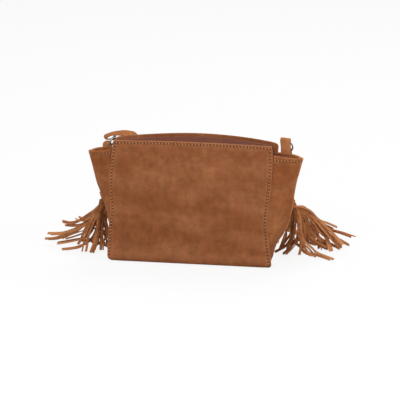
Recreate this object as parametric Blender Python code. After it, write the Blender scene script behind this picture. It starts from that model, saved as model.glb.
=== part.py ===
"""A small suede shoulder bag with wings at its sides and a long cut fringe round its front.

The plain back faces -Y, the fringed front faces +Y, and the flat base stands on z = 0.
Lengths are in metres. Shape lists give a share of the height first.
"""

import math
import random

import bmesh
import bpy
from mathutils import Matrix, Vector

MM = 0.001

# The body of the bag
BODY_HEIGHT = 0.184
TOP_WIDTH = 0.2393
BASE_WIDTH = 0.2510
FRONT_TOP_WIDTH = 0.2480
FRONT_BASE_WIDTH = 0.222
BASE_DEPTH = 0.090
BACK_LEAN = 0.015
MOUTH_END_DEPTH = 0.030
FRONT_BOW = 0.028
BACK_BELLY = 0.002
RIM_ARCH = 0.0018
TOP_SHIFT = 0.002
FRONT_TOP_SHIFT = 0.004
BOTTOM_ROUND = 0.008

# Leather, lining and stiffener
PANEL_THICK = 0.0018
GUSSET_THICK = 0.0015
LINING_THICK = 0.0008
BASE_THICK = 0.0020
BOARD_THICK = 0.0020
SEAM_GAP = 0.0003
SEAM_LAP = 0.003
TURN_UNDER = 0.0015

# The wings: how far each fold stands out of the straight side, and its rim
WING_RIGHT = 0.0404
WING_LEFT = 0.0388
WING_BACK_RIGHT = 0.006
WING_BACK_LEFT = 0.0
GUSSET_DROP = 0.014
WING_BULGE = 0.0025
LINING_DROP = 0.005

# The fringe
HEADER_TOP = 0.098
HEADER_HEIGHT = 0.012
FRINGE_THICK = 0.0014
FRINGE_LENGTH = 0.130
STRIP_WIDTH = 0.0042
STRIP_SPACE = 0.0008
SIDE_HEADER_LAP = SEAM_LAP + 0.0015
SEWN_GAP = 0.0005
FRONT_BENDS = 7
SIDE_BENDS = 11
FAN_OUT = 0.04
FRONT_STAND = 0.010
FRONT_STAND_SPREAD = 0.004
FRONT_REACH = 0.012
SLACK_REACH = 0.050
SIDE_LEAVE = 0.25
SIDE_LAND = 0.55

# Rings, tabs and strap
RING_RADIUS = 0.0096
WIRE_RADIUS = 0.0012
RING_CLEARANCE = 0.00035
TAB_WIDTH = 0.015
TAB_THICK = 0.0040
TAB_HEAD = 0.0080
TAB_LEFT_PLACE = 0.45
TAB_RIGHT_PLACE = 0.66
TAB_RUN = 0.05
STRAP_WIDTH = 0.016
STRAP_NECK = 0.0098
STRAP_THICK = 0.0020
STRAP_BENDS = 3

# The magnetic snap inside the mouth
SNAP_RADIUS = 0.007
SNAP_THICK = 0.0022
SNAP_DEPTH = 0.026

# Soft suede never hangs quite straight: (share of the height, millimetres outwards)
SWAY_RIGHT = [(0, 0), (0.16, -4.0), (0.38, -7.2), (0.65, -1.8), (0.87, 1.1), (1, 0)]
SWAY_LEFT = [(0, 0), (0.08, 1.2), (0.3, 0.9), (0.44, -0.4), (0.6, 3.5), (0.76, 4.0), (0.9, 2.2), (1, 0)]

# (share of the height, share of the wing that the fold stands out)
FOLD_RIGHT = [(0, 0), (0.15, 0.21), (0.24, 0.48), (0.34, 0.69), (0.45, 0.78), (0.6, 0.8), (0.69, 0.84),
              (0.78, 0.92), (0.88, 1.0), (1, 1.06)]
FOLD_LEFT = [(0, 0), (0.15, 0.1), (0.29, 0.3), (0.35, 0.39), (0.44, 0.51), (0.55, 0.63), (0.61, 0.715),
             (0.77, 0.88), (0.87, 1.0), (1, 1.06)]

# The wing's rim: (place from its back seam at -1 over the fold at 0 to its front seam at 1, millimetres
# that it hangs below its back seam)
WING_RIM = [(-1, 0), (-0.75, 2.2), (-0.5, 4.0), (-0.15, 6.5), (0, 6.0), (0.3, 2.5), (1, 1)]

# The front panel's rim droops at its right end and its corners are rounded: (place from its right end at 0
# to its left end at 1, millimetres that it hangs below a straight rim)
FRONT_RIM = [(0, 5.5), (0.006, 3.0), (0.016, 1.7), (0.035, 0.9), (0.09, 0.2), (0.2, -0.6),
             (0.5, -1.5), (0.8, -0.4), (0.975, 0.4), (0.992, 1.2), (1, 3.4)]


def along(points, place):
    """A smooth value at a place on a hand-drawn list of (place, value)."""
    if place <= points[0][0]:
        return points[0][1]
    for i in range(len(points) - 1):
        (x0, y0), (x1, y1) = points[i], points[i + 1]
        if place <= x1:
            before = points[i - 1] if i else points[i]
            after = points[i + 2] if i + 2 < len(points) else points[i + 1]
            step = x1 - x0
            slope0 = (y1 - before[1]) / (x1 - before[0]) * step
            slope1 = (after[1] - y0) / (after[0] - x0) * step
            t = (place - x0) / step
            return (
                (2 * t**3 - 3 * t**2 + 1) * y0
                + (t**3 - 2 * t**2 + t) * slope0
                + (3 * t**2 - 2 * t**3) * y1
                + (t**3 - t**2) * slope1
            )
    return points[-1][1]


def make_material(name, colour, roughness, metallic=0.0):
    material = bpy.data.materials.new(name)
    material.use_nodes = True
    shader = material.node_tree.nodes["Principled BSDF"]
    shader.inputs["Base Color"].default_value = (*colour, 1)
    shader.inputs["Roughness"].default_value = roughness
    shader.inputs["Metallic"].default_value = metallic
    material.diffuse_color = (*colour, 1)
    return material


def make_object(name, shape, material, smooth=40):
    """One closed body from a bmesh, its faces turned outwards."""
    bmesh.ops.recalc_face_normals(shape, faces=shape.faces)
    mesh = bpy.data.meshes.new(name)
    shape.to_mesh(mesh)
    shape.free()
    mesh.shade_smooth()
    mesh.set_sharp_from_angle(angle=math.radians(smooth))
    mesh.materials.append(material)
    thing = bpy.data.objects.new(name, mesh)
    bpy.context.scene.collection.objects.link(thing)
    return thing


def sheet(outer, inner):
    """A sheet of leather as a closed body: two like grids of points, joined round their edges."""
    shape = bmesh.new()
    faces = [[[shape.verts.new(p) for p in row] for row in grid] for grid in (outer, inner)]
    rows, columns = len(outer), len(outer[0])
    for grid in faces:
        for r in range(rows - 1):
            for c in range(columns - 1):
                shape.faces.new([grid[r][c], grid[r][c + 1], grid[r + 1][c + 1], grid[r + 1][c]])
    rim = [(0, c) for c in range(columns)] + [(r, columns - 1) for r in range(1, rows)]
    rim += [(rows - 1, c) for c in range(columns - 2, -1, -1)] + [(r, 0) for r in range(rows - 2, 0, -1)]
    for (r0, c0), (r1, c1) in zip(rim, rim[1:] + rim[:1]):
        shape.faces.new([faces[0][r0][c0], faces[0][r1][c1], faces[1][r1][c1], faces[1][r0][c0]])
    return shape


def corners(share):
    """The bag's outline seen from above at a share of its height: from the back left corner to the right,
    round the right wing's fold, over the front and back by the left wing's fold."""
    shift = TOP_SHIFT * share
    half = (BASE_WIDTH + (TOP_WIDTH - BASE_WIDTH) * share) / 2
    front_shift = FRONT_TOP_SHIFT * share
    front_half = (FRONT_BASE_WIDTH + (FRONT_TOP_WIDTH - FRONT_BASE_WIDTH) * share) / 2
    back = -BASE_DEPTH / 2 + BACK_LEAN * share
    front = BASE_DEPTH / 2 * (1 - share) + (MOUTH_END_DEPTH + BACK_LEAN - BASE_DEPTH / 2) * share
    right = Vector((shift + half + along(SWAY_RIGHT, share) * MM, back))
    left = Vector((shift - half - along(SWAY_LEFT, share) * MM, back))
    far_right = Vector((front_shift + front_half, front))
    far_left = Vector((front_shift - front_half, front))
    fold_right = (right + far_right) / 2
    fold_right += Vector((WING_RIGHT * along(FOLD_RIGHT, share), WING_BACK_RIGHT * share))
    fold_left = (left + far_left) / 2
    fold_left -= Vector((WING_LEFT * along(FOLD_LEFT, share), WING_BACK_LEFT * share))
    return [left, right, fold_right, far_right, far_left, fold_left]


BACK, RIGHT_NEAR, RIGHT_FAR, FRONT, LEFT_FAR, LEFT_NEAR = range(6)


def set_in(outline, panel_depth, wing_depth):
    """The outline with each side moved inwards by its depth and met at its corners."""
    lines = []
    for wall, (start, end) in enumerate(zip(outline, outline[1:] + outline[:1])):
        run = (end - start).normalized()
        depth = panel_depth if wall in (BACK, FRONT) else wing_depth
        lines.append((start + Vector((-run.y, run.x)) * depth, run))
    moved = []
    for (p, run), (q, after) in zip(lines[-1:] + lines[:-1], lines):
        turn = run.x * after.y - run.y * after.x
        gap = q - p
        straight_on = abs(turn) < 1e-6
        moved.append(q if straight_on else p + run * (gap.x * after.y - gap.y * after.x) / turn)
    return moved


def sewn_outline(share, panel_depth, wing_depth):
    """The outline of what is sewn behind the two panels: its corners lie inside the panels' side edges."""
    outline = corners(share)
    lap = Vector((SEAM_LAP, 0))
    left, right, fold_right, far_right, far_left, fold_left = outline
    sewn = [left + lap, right - lap, fold_right, far_right, far_left, fold_left]
    moved = set_in(sewn, panel_depth, wing_depth)
    inboard = SEAM_LAP + wing_depth
    moved[FRONT] = far_right + Vector((-inboard, -panel_depth))
    moved[LEFT_FAR] = far_left + Vector((inboard, -panel_depth))
    return moved


def foot_inset(height, depth):
    """How far the rounded foot draws in the surface that lies at a depth in the wall."""
    if height >= BOTTOM_ROUND:
        return depth
    radius = BOTTOM_ROUND - depth
    rise = min(BOTTOM_ROUND - height, radius)
    return BOTTOM_ROUND - math.sqrt(radius**2 - rise**2)


FOOT_EDGE = BOTTOM_ROUND + TURN_UNDER + SEAM_GAP


def behind_panel(height, depth):
    """How far in a surface lies that is sewn behind a panel, clear of the panel's turned foot."""
    depth += PANEL_THICK + SEAM_GAP
    return FOOT_EDGE if height < depth else foot_inset(height, depth)


def wall_point(wall, place, height, inset, depth=None):
    """A point of a wall: place runs 0 to 1 along it, round the bag from the back panel's left edge. A depth
    is given for what is sewn behind the panels."""
    share = height / BODY_HEIGHT
    bow = FRONT_BOW * share
    if depth is None:
        outline = set_in(corners(share), inset, inset)
    else:
        behind = behind_panel(height, depth)
        outline = sewn_outline(share, behind, inset)
        bow += corners(share)[FRONT].y - behind - outline[FRONT].y
    start, end = outline[wall], outline[(wall + 1) % 6]
    point = start.lerp(end, place)
    hump = 4 * place * (1 - place)
    if wall == BACK:
        point.y -= BACK_BELLY * hump * math.sin(math.pi * min(share, 1))
    elif wall == FRONT:
        point.y += bow * hump
    else:
        run = (end - start).normalized()
        point += Vector((run.y, -run.x)) * WING_BULGE * hump**2 * math.sin(math.pi * min(share, 1))
    return Vector((point.x, point.y, height))


def panel_top(wall, place):
    """The height of a panel's rim at a place along it."""
    droop = along(FRONT_RIM, place) * MM if wall == FRONT else 0
    return BODY_HEIGHT + RIM_ARCH * 4 * place * (1 - place) - droop


def wing_top(place):
    """The rim's height on a wing, from its back seam at -1 over the fold at 0 to its front seam at 1."""
    return BODY_HEIGHT - GUSSET_DROP - along(WING_RIM, place) * MM


def spread(start, end, count):
    return [start + (end - start) * i / count for i in range(count + 1)]


FOOT_ANGLES = [0, 30, 60]
CORNER_PLACES = [0.006, 0.016, 0.030]
PANEL_PLACES = sorted(spread(0, 1, 18) + CORNER_PLACES + [1 - place for place in CORNER_PLACES])
WALL_SHARES = spread(0, 1, 11)


def wall_rows(top, depth):
    """(height, inset) of each row of a wall's surface, from the foot's underside up to its top."""
    radius = BOTTOM_ROUND - depth
    rows = []
    for degrees in FOOT_ANGLES:
        angle = math.radians(degrees)
        rows.append((BOTTOM_ROUND - radius * math.cos(angle), BOTTOM_ROUND - radius * math.sin(angle)))
    return rows + [(BOTTOM_ROUND + (top - BOTTOM_ROUND) * share, depth) for share in WALL_SHARES]


def panel(name, wall, material):
    """A back or front panel: its foot turns under and its side edges stand a little over the wings."""
    surfaces = []
    for depth in (0, PANEL_THICK):
        columns = []
        for place in PANEL_PLACES:
            rows = wall_rows(panel_top(wall, place), depth)
            rows = [(rows[0][0], rows[0][1] + TURN_UNDER)] + rows
            columns.append([wall_point(wall, place, z, inset) for z, inset in rows])
        surfaces.append(columns)
    return make_object(name, sheet(*surfaces), material)


def gusset(name, walls, material):
    """A wing: one piece from the back seam over its fold to the front seam."""
    surfaces = []
    places = spread(-1, 0, 6) + spread(0, 1, 6)[1:]
    if walls[0] == LEFT_FAR:
        places = places[::-1]
    for depth in (0, GUSSET_THICK):
        columns = []
        for place in places:
            wall, part = wall_place(walls, place)
            rows = wall_rows(wing_top(place), depth)
            columns.append([wall_point(wall, part, z, inset, depth) for z, inset in rows])
        surfaces.append(columns)
    return make_object(name, sheet(*surfaces), material)


def wall_place(walls, place):
    """The wall and the place along it of a place on a wing."""
    if walls[0] == RIGHT_NEAR:
        return (RIGHT_NEAR, place + 1) if place <= 0 else (RIGHT_FAR, place)
    return (LEFT_NEAR, -place) if place <= 0 else (LEFT_FAR, 1 - place)


def flat_plate(name, outline, low, high, material):
    shape = bmesh.new()
    rings = [[shape.verts.new((p.x, p.y, z)) for p in outline] for z in (low, high)]
    shape.faces.new(rings[0])
    shape.faces.new(rings[1])
    for i in range(len(outline)):
        j = (i + 1) % len(outline)
        shape.faces.new([rings[0][i], rings[0][j], rings[1][j], rings[1][i]])
    return make_object(name, shape, material)


LINING_DEPTH = GUSSET_THICK + 0.0004
LINING_FLOOR = BASE_THICK + BOARD_THICK + 2 * SEAM_GAP
LINING_CORNER = 0.025


def lining(material):
    """The inner bag: one closed skin with an open mouth, just inside the leather all round."""
    stations = []
    counts = {BACK: 9, RIGHT_NEAR: 6, RIGHT_FAR: 6, FRONT: 12, LEFT_FAR: 6, LEFT_NEAR: 6}
    for wall, count in counts.items():
        parts = spread(0, 1, count)[:-1]
        if wall in (BACK, FRONT):
            parts = parts[:1] + [LINING_CORNER] + parts[1:] + [1 - LINING_CORNER]
        stations += [(wall, part) for part in parts]

    def top(wall, part):
        if wall in (BACK, FRONT) and part:
            return panel_top(wall, part)
        place = {RIGHT_NEAR: part - 1, RIGHT_FAR: part, LEFT_FAR: 1 - part, LEFT_NEAR: -part}
        edge = {BACK: -1, FRONT: 1}
        return wing_top(place.get(wall, edge.get(wall)))

    shape = bmesh.new()
    skins = []
    for depth in (LINING_DEPTH, LINING_DEPTH + LINING_THICK):
        floor = LINING_FLOOR + depth - LINING_DEPTH
        rings = []
        for share in [None] + WALL_SHARES:
            ring = []
            for wall, part in stations:
                height = floor
                if share is not None:
                    height = BOTTOM_ROUND + (top(wall, part) - BOTTOM_ROUND) * share
                if share == 1:
                    height -= LINING_DROP
                point = wall_point(wall, part, height, foot_inset(height, depth), depth)
                ring.append(shape.verts.new(point))
            rings.append(ring)
        skins.append(rings)
    count = len(stations)
    for rings in skins:
        shape.faces.new(rings[0])
        for low, high in zip(rings, rings[1:]):
            for i in range(count):
                shape.faces.new([low[i], low[(i + 1) % count], high[(i + 1) % count], high[i]])
    for i in range(count):
        j = (i + 1) % count
        shape.faces.new([skins[0][-1][i], skins[0][-1][j], skins[1][-1][j], skins[1][-1][i]])
    return make_object("lining", shape, material)


def bezier(points, t):
    a, b, c, d = points
    return a * (1 - t) ** 3 + b * 3 * t * (1 - t) ** 2 + c * 3 * t**2 * (1 - t) + d * t**3


def even_route(points, bends, first=0.0):
    """Evenly spaced points on a Bezier curve, and its length."""
    fine = [bezier(points, i / 60) for i in range(61)]
    lengths = [0.0]
    for a, b in zip(fine, fine[1:]):
        lengths.append(lengths[-1] + (b - a).length)
    route = []
    for i in range(bends + 1):
        want = first + (lengths[-1] - first) * i / bends
        k = next((n for n in range(1, 61) if lengths[n] >= want), 60)
        part = (want - lengths[k - 1]) / max(lengths[k] - lengths[k - 1], 1e-9)
        route.append(fine[k - 1].lerp(fine[k], part))
    return route, lengths[-1]


def cut_to_length(shape_of, bends):
    """The route whose slack makes it FRINGE_LENGTH long, found by halving."""
    low, high = 0.0, 1.6
    for _ in range(22):
        slack = (low + high) / 2
        if even_route(shape_of(slack), bends)[1] < FRINGE_LENGTH:
            low = slack
        else:
            high = slack
    return even_route(shape_of(low), bends)[0]


def fringe(name, header, columns, routes, sides, material):
    """A header band and the strips cut below it, in one piece. header(column, upper) gives the outer and the
    inner point, and each route leaves the band between its own two columns."""
    shape = bmesh.new()
    grid = []
    for column in columns:
        grid.append([[shape.verts.new(p) for p in header(column, upper)] for upper in (True, False)])
    for i in range(len(columns) - 1):
        (a_top, a_low), (b_top, b_low) = grid[i], grid[i + 1]
        shape.faces.new([a_top[0], b_top[0], b_low[0], a_low[0]])
        shape.faces.new([a_top[1], b_top[1], b_low[1], a_low[1]])
        shape.faces.new([a_top[0], b_top[0], b_top[1], a_top[1]])
        if i % 2:
            shape.faces.new([a_low[0], b_low[0], b_low[1], a_low[1]])
    for column in (grid[0], grid[-1]):
        shape.faces.new([column[0][0], column[0][1], column[1][1], column[1][0]])
    for k, route in enumerate(routes):
        left, right = grid[2 * k][1], grid[2 * k + 1][1]
        ring = [left[0], right[0], right[1], left[1]]
        first_side = (right[0].co - left[0].co).normalized()
        for i in range(1, len(route)):
            t = i / (len(route) - 1)
            after = route[min(i + 1, len(route) - 1)]
            run = (after - route[i - 1]).normalized()
            side = first_side.lerp(sides[k], min(1, t * 1.6))
            side = (side - run * side.dot(run)).normalized()
            face = side.cross(run).normalized()
            centre = route[i]
            across, through = side * STRIP_WIDTH / 2, face * FRINGE_THICK / 2
            places = (centre - across - through, centre + across - through, centre + across + through,
                      centre - across + through)
            new = [shape.verts.new(p) for p in places]
            for a in range(4):
                b = (a + 1) % 4
                shape.faces.new([ring[a], ring[b], new[b], new[a]])
            ring = new
        shape.faces.new(ring)
    return make_object(name, shape, material, smooth=50)


def strip_columns(width):
    """Distances along a header of each strip's two edges, centred on the width."""
    pitch = STRIP_WIDTH + STRIP_SPACE
    count = int(width / pitch)
    first = (width - count * pitch + STRIP_SPACE) / 2
    found = []
    for k in range(count):
        found += [first + k * pitch, first + k * pitch + STRIP_WIDTH]
    return found


def header_point(wall, place, upper):
    """The outer and the inner point of a header band that is sewn on a wall."""
    height = HEADER_TOP if upper else HEADER_TOP - HEADER_HEIGHT
    depths = (-SEWN_GAP - FRINGE_THICK, -SEWN_GAP)
    return [wall_point(wall, place, height, depth, None if wall == FRONT else depth) for depth in depths]


FLOOR_REST = 0.0011


def front_fringe(material):
    """Strips that hang down the front panel and run out over the floor."""
    ends = [wall_point(FRONT, place, HEADER_TOP, 0) for place in (0, 1)]
    width = (ends[1] - ends[0]).length - 2 * SEAM_LAP
    edges = strip_columns(width)
    places = [(SEAM_LAP + edge) / (width + 2 * SEAM_LAP) for edge in edges]
    dice = random.Random(4)
    routes, sides = [], []
    for k in range(len(places) // 2):
        middle = (places[2 * k] + places[2 * k + 1]) / 2
        outer, inner = header_point(FRONT, middle, False)
        root = (outer + inner) / 2
        foot = wall_point(FRONT, middle, 0, 0)
        stand = foot.y + FRONT_STAND + FRONT_STAND_SPREAD * dice.random()
        lean = root.x * FAN_OUT

        def shape_of(slack):
            reach = FRONT_REACH + SLACK_REACH * slack
            tip = Vector((root.x + lean, stand + reach, FLOOR_REST))
            low = Vector((root.x + lean / 2, stand - 0.001, FLOOR_REST))
            below = Vector((root.x, root.y + FRONT_STAND, root.z * 0.45))
            return root, below, low, tip

        routes.append(cut_to_length(shape_of, FRONT_BENDS))
        sides.append(Vector((-1, 0, 0)))
    return fringe("fringe_front", lambda p, up: header_point(FRONT, p, up), places, routes, sides, material)


# Where the strips of the side fringes come to rest: tips in millimetres, from the front seam to the fold
RIGHT_TIPS = [(126, 64, 1.2), (135, 56, 1.2), (146, 49, 1.2), (163, 42, 1.2), (181, 37, 1.2), (200, 30, 1.2),
              (196, 52, 12), (206, 66, 3), (216, 82, 12), (222, 62, 36)]
LEFT_TIPS = [(-121, 60, 1.2), (-137, 50, 1.2), (-150, 36, 1.2), (-163, 22, 1.2), (-180, 14, 1.2),
             (-197, 10, 1.2), (-213, 20, 1.2), (-226, 32, 5), (-232, 40, 16)]


def side_fringe(name, wall, tips, outward, material):
    """Strips that fall from the front half of a wing and splay over the floor."""
    ends = [wall_point(wall, place, HEADER_TOP, 0, 0) for place in (0, 1)]
    width = (ends[1] - ends[0]).length
    free = width - SIDE_HEADER_LAP
    pitch = free / (len(tips) + 0.5)
    places = []
    for k in range(len(tips)):
        middle = ((k + 0.75) * pitch + (SIDE_HEADER_LAP if wall == LEFT_FAR else 0)) / width
        half = min(STRIP_WIDTH, pitch - STRIP_SPACE) / 2 / width
        places += [middle - half, middle + half]
    if wall == RIGHT_FAR:
        tips = tips[::-1]
    routes, sides = [], []
    for k, tip_mm in enumerate(tips):
        middle = (places[2 * k] + places[2 * k + 1]) / 2
        outer, inner = header_point(wall, middle, False)
        root = (outer + inner) / 2
        tip = Vector(tip_mm) * MM
        way = Vector((tip.x - root.x, tip.y - root.y, 0))

        def shape_of(slack):
            fall = 0.030 * (slack - 1)
            leave = root + Vector((outward.x * 0.010, 0.012, fall)) + way * SIDE_LEAVE * slack
            land = tip - way * (SIDE_LAND - SIDE_LEAVE * slack) + Vector((0, 0, 0.002 + SLACK_REACH * slack))
            return root, leave, land, tip

        routes.append(cut_to_length(shape_of, SIDE_BENDS))
        across = Vector((way.y, -way.x, 0)).normalized()
        sides.append(-across if across.x > 0 else across)
    return fringe(name, lambda p, up: header_point(wall, p, up), places, routes, sides, material)


def ring_points(centre, level, upright, radius, wire, around=36, tube=10):
    """A wire ring in the plane of two directions, as rings of points round its wire."""
    normal = level.cross(upright).normalized()
    rows = []
    for i in range(around):
        turn = 2 * math.pi * i / around
        out = level * math.cos(turn) + upright * math.sin(turn)
        row = []
        for j in range(tube):
            bend = 2 * math.pi * j / tube
            row.append(centre + out * (radius + wire * math.cos(bend)) + normal * wire * math.sin(bend))
        rows.append(row)
    return rows


def torus(centre, level, upright, radius, wire):
    shape = bmesh.new()
    places = ring_points(centre, level, upright, radius, wire)
    rows = [[shape.verts.new(p - centre) for p in row] for row in places]
    for i, row in enumerate(rows):
        after = rows[(i + 1) % len(rows)]
        for j in range(len(row)):
            k = (j + 1) % len(row)
            shape.faces.new([row[j], row[k], after[k], after[j]])
    return shape


def ring(name, place, material):
    """A wire ring, its origin at its own middle, on the axis that it turns about."""
    centre, level, upright = place
    thing = make_object(name, torus(centre, level, upright, RING_RADIUS, WIRE_RADIUS), material)
    thing.location = centre
    return thing


def tab(name, wall, place, ring_place, hold, sections, material):
    """A folded suede tab: sewn flat to the wing's outer face at its foot, its fold round the ring's wire at
    the hold. Each section has its height above the body's, in millimetres, its share of the way from the
    face to the hold, its width and its thickness."""
    centre, level, upright = ring_place
    shape = bmesh.new()
    rings = []
    for rise_mm, share, width, thick in sections:
        low = BODY_HEIGHT + min(rise_mm * MM, RIM_CLEAR)
        face = wall_point(wall, place, low, -SEAM_GAP, -SEAM_GAP)
        beside = wall_point(wall, place - TAB_RUN, low, -SEAM_GAP, -SEAM_GAP)
        run = (beside - face).normalized()
        sewn = face + Vector((-run.y, run.x, 0)) * (TAB_THICK / 2 + SEWN_GAP)
        middle = sewn.lerp(hold, share)
        middle.z = BODY_HEIGHT + rise_mm * MM
        side = run.lerp(level, share).normalized()
        through = Vector((-side.y, side.x, 0))
        corner = min(width, thick) * 0.28
        ring_now = []
        for a, b in ((-1, -1), (1, -1), (1, 1), (-1, 1)):
            for da, db in ((0, 1), (1, 0)) if a * b > 0 else ((1, 0), (0, 1)):
                across = side * a * (width / 2 - da * corner)
                ring_now.append(shape.verts.new(middle + across + through * b * (thick / 2 - db * corner)))
        rings.append(ring_now)
    for low, high in zip(rings, rings[1:]):
        for i in range(8):
            j = (i + 1) % 8
            shape.faces.new([low[i], low[j], high[j], high[i]])
    shape.faces.new(rings[0])
    shape.faces.new(rings[-1])
    thing = make_object(name, shape, material)
    cutter = torus(centre, level, upright, RING_RADIUS, WIRE_RADIUS + RING_CLEARANCE)
    hole = make_object(name + "_hole", cutter, material)
    hole.location = centre
    hole.hide_render = True
    hole.display_type = "WIRE"
    cut = thing.modifiers.new("ring_hole", "BOOLEAN")
    cut.operation = "DIFFERENCE"
    cut.object = hole
    return thing


UP = Vector((0, 0, 1))


def ring_place(wall, place, offset_mm, turn, lean):
    """A ring's middle, at an offset from its tab's place on a wing, and the level and the rising direction
    of its plane. The level one is turned from +X, the rising one leans from upright, both in degrees."""
    anchor = wall_point(wall, place, BODY_HEIGHT - GUSSET_DROP, -SEAM_GAP, -SEAM_GAP)
    turn, lean = math.radians(turn), math.radians(lean)
    level = Vector((math.cos(turn), math.sin(turn), 0))
    upright = UP * math.cos(lean) + UP.cross(level) * math.sin(lean)
    return anchor + Vector(offset_mm) * MM, level, upright


LEFT_RING = ring_place(LEFT_FAR, TAB_LEFT_PLACE, (8.9, 11.3, 3.6), 78.5, -26)
RIGHT_RING = ring_place(RIGHT_FAR, TAB_RIGHT_PLACE, (0.0, 10.5, 7.2), -20, -20)

# The left tab holds its ring's lowest wire in the near side of a thick knob, the right one its highest
LEFT_HOLD = LEFT_RING[0] - LEFT_RING[2] * RING_RADIUS + Vector((-3.6, -1.0, 0)) * MM
RIGHT_HOLD = RIGHT_RING[0] + RIGHT_RING[2] * RING_RADIUS + Vector((-0.6, 0, 0)) * MM

# Above this height, from the body's own, the tabs stand free of the wings' rims
RIM_CLEAR = -0.028

# The tabs, foot to fold: millimetres above the body's height, share of the way to the ring, width, thickness
LEFT_TAB = [(-38, 0, TAB_WIDTH, TAB_THICK), (-30, 0, TAB_WIDTH, TAB_THICK), (-26, 0.3, 0.013, 0.005),
            (-22.5, 0.85, 0.011, 0.0085), (-19.5, 1, 0.010, 0.0110), (-14.5, 1, 0.010, 0.0110),
            (-11.3, 1, 0.009, 0.0090), (-9.8, 1, 0.007, 0.0055)]
RIGHT_TAB = [(-38, 0, TAB_WIDTH, TAB_THICK), (-27, 0, TAB_WIDTH, TAB_THICK),
             (-16, 0, TAB_WIDTH, TAB_THICK), (-8.5, 0.1, TAB_WIDTH, TAB_THICK),
             (-2.0, 0.8, TAB_WIDTH, 0.0066),
             (1.8, 1, TAB_WIDTH, TAB_HEAD), (4.4, 1, TAB_WIDTH, 0.0066), (5.8, 1, TAB_WIDTH, 0.0036)]

# The strap's route: millimetres, then the direction of its width, then its width. Its two ends are measured
# from the middles of the rings that they loop through, the rest from the part's origin.
ALONG_Y, ALONG_X, BY_RING, TIPPED = (0, 1, 0), (1, 0, 0), (-0.94, 0.34, 0), (0, 1, 0.36)
STRAP_LEFT_END = [
    (29.0, 11.7, 3.6, ALONG_Y, STRAP_NECK), (24.5, 9.2, 4.8, ALONG_Y, STRAP_NECK),
    (18.5, 6.6, 5.4, ALONG_Y, STRAP_NECK), (12.0, 3.4, 5.2, ALONG_Y, STRAP_NECK),
    (6.0, 0.3, 4.3, ALONG_Y, STRAP_NECK), (0.0, -0.2, 4.0, ALONG_Y, STRAP_NECK),
    (-5.5, -0.5, 3.7, (0, 1, -0.25), STRAP_NECK), (-9.3, -0.5, 4.8, (-0.45, 0.85, -0.3), STRAP_NECK),
    (-9.9, -0.5, 7.4, (-0.6, 0.8, 0.1), STRAP_NECK), (-6.8, -0.5, 9.3, (-0.2, 0.95, 0.4), STRAP_NECK),
    (-1.5, -0.2, 11.7, TIPPED, STRAP_NECK), (5.0, 1.0, 12.8, TIPPED, 0.0108),
    (12.0, 3.6, 12.8, TIPPED, 0.0125), (19.0, 7.2, 12.0, (0.05, 1, 0.35), 0.0145),
    (25.5, 11.0, 10.4, (0.1, 1, 0.2), STRAP_WIDTH), (30.8, 15.2, 6.8, (0.2, 1, 0.1), STRAP_WIDTH),
]
STRAP_FALL = [
    (-93.4, 26.6, 171.0, (0.45, 1, 0.1), STRAP_WIDTH), (-91.2, 31.2, 161.0, (0.8, 1, 0.1), STRAP_WIDTH),
    (-90.0, 36.2, 148.5, (1, 0.6, 0), STRAP_WIDTH),
    (-89.0, 41.5, 132.0, (1, 0.2, 0), STRAP_WIDTH), (-88.5, 47.5, 108.0, ALONG_X, STRAP_WIDTH),
    (-89.0, 55.0, 84.0, ALONG_X, STRAP_WIDTH), (-90.5, 65.0, 60.0, ALONG_X, STRAP_WIDTH),
    (-92.5, 79.0, 37.0, ALONG_X, STRAP_WIDTH), (-94.0, 98.0, 17.0, ALONG_X, STRAP_WIDTH),
    (-94.0, 119.0, 5.0, ALONG_X, STRAP_WIDTH), (-92.0, 142.0, 1.4, ALONG_X, STRAP_WIDTH),
    (-84.0, 168.0, 1.4, (0.9, -0.3, 0), STRAP_WIDTH), (-65.0, 193.0, 1.4, (0.6, -0.7, 0), STRAP_WIDTH),
    (-35.0, 209.0, 1.4, (0.3, -1, 0), STRAP_WIDTH), (0.0, 215.0, 1.4, (0.1, -1, 0), STRAP_WIDTH),
    (38.0, 213.0, 1.4, (-0.1, -1, 0), STRAP_WIDTH), (76.0, 203.0, 1.4, (-0.3, -1, 0), STRAP_WIDTH),
    (110.0, 185.0, 1.4, (-0.6, -1, 0), STRAP_WIDTH), (138.0, 160.0, 1.4, (-0.8, -0.7, 0), STRAP_WIDTH),
    (156.0, 133.0, 1.6, (-1, -0.4, 0), STRAP_WIDTH), (164.0, 108.0, 5.0, (-1, -0.1, 0), STRAP_WIDTH),
    (164.0, 90.0, 17.0, (-1, 0, 0), STRAP_WIDTH), (158.0, 74.0, 36.0, (-1, 0, 0), STRAP_WIDTH),
    (147.0, 64.0, 58.0, (-1, 0.1, 0), STRAP_WIDTH), (137.5, 52.5, 82.0, (-1, 0.1, 0), STRAP_WIDTH),
    (136.0, 39.0, 106.0, (-1, 0.1, 0), STRAP_WIDTH), (137.5, 26.8, 129.0, (-1, 0.1, 0), STRAP_WIDTH),
    (139.5, 19.6, 146.0, (-1, 0.2, 0), STRAP_WIDTH),
]
STRAP_RIGHT_END = [
    (2.5, 7.0, -19.0, BY_RING, 0.0130), (2.3, 6.4, -12.0, BY_RING, STRAP_NECK),
    (2.2, 6.0, -7.5, BY_RING, STRAP_NECK), (1.4, 3.9, -4.2, BY_RING, STRAP_NECK),
    (0.3, 0.9, -4.6, BY_RING, STRAP_NECK), (-0.2, -0.6, -8.0, BY_RING, STRAP_NECK),
    (-0.1, -0.4, -12.5, BY_RING, STRAP_NECK), (0.5, 1.5, -20.0, BY_RING, STRAP_NECK),
    (1.4, 3.8, -27.5, BY_RING, STRAP_NECK),
]


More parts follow.
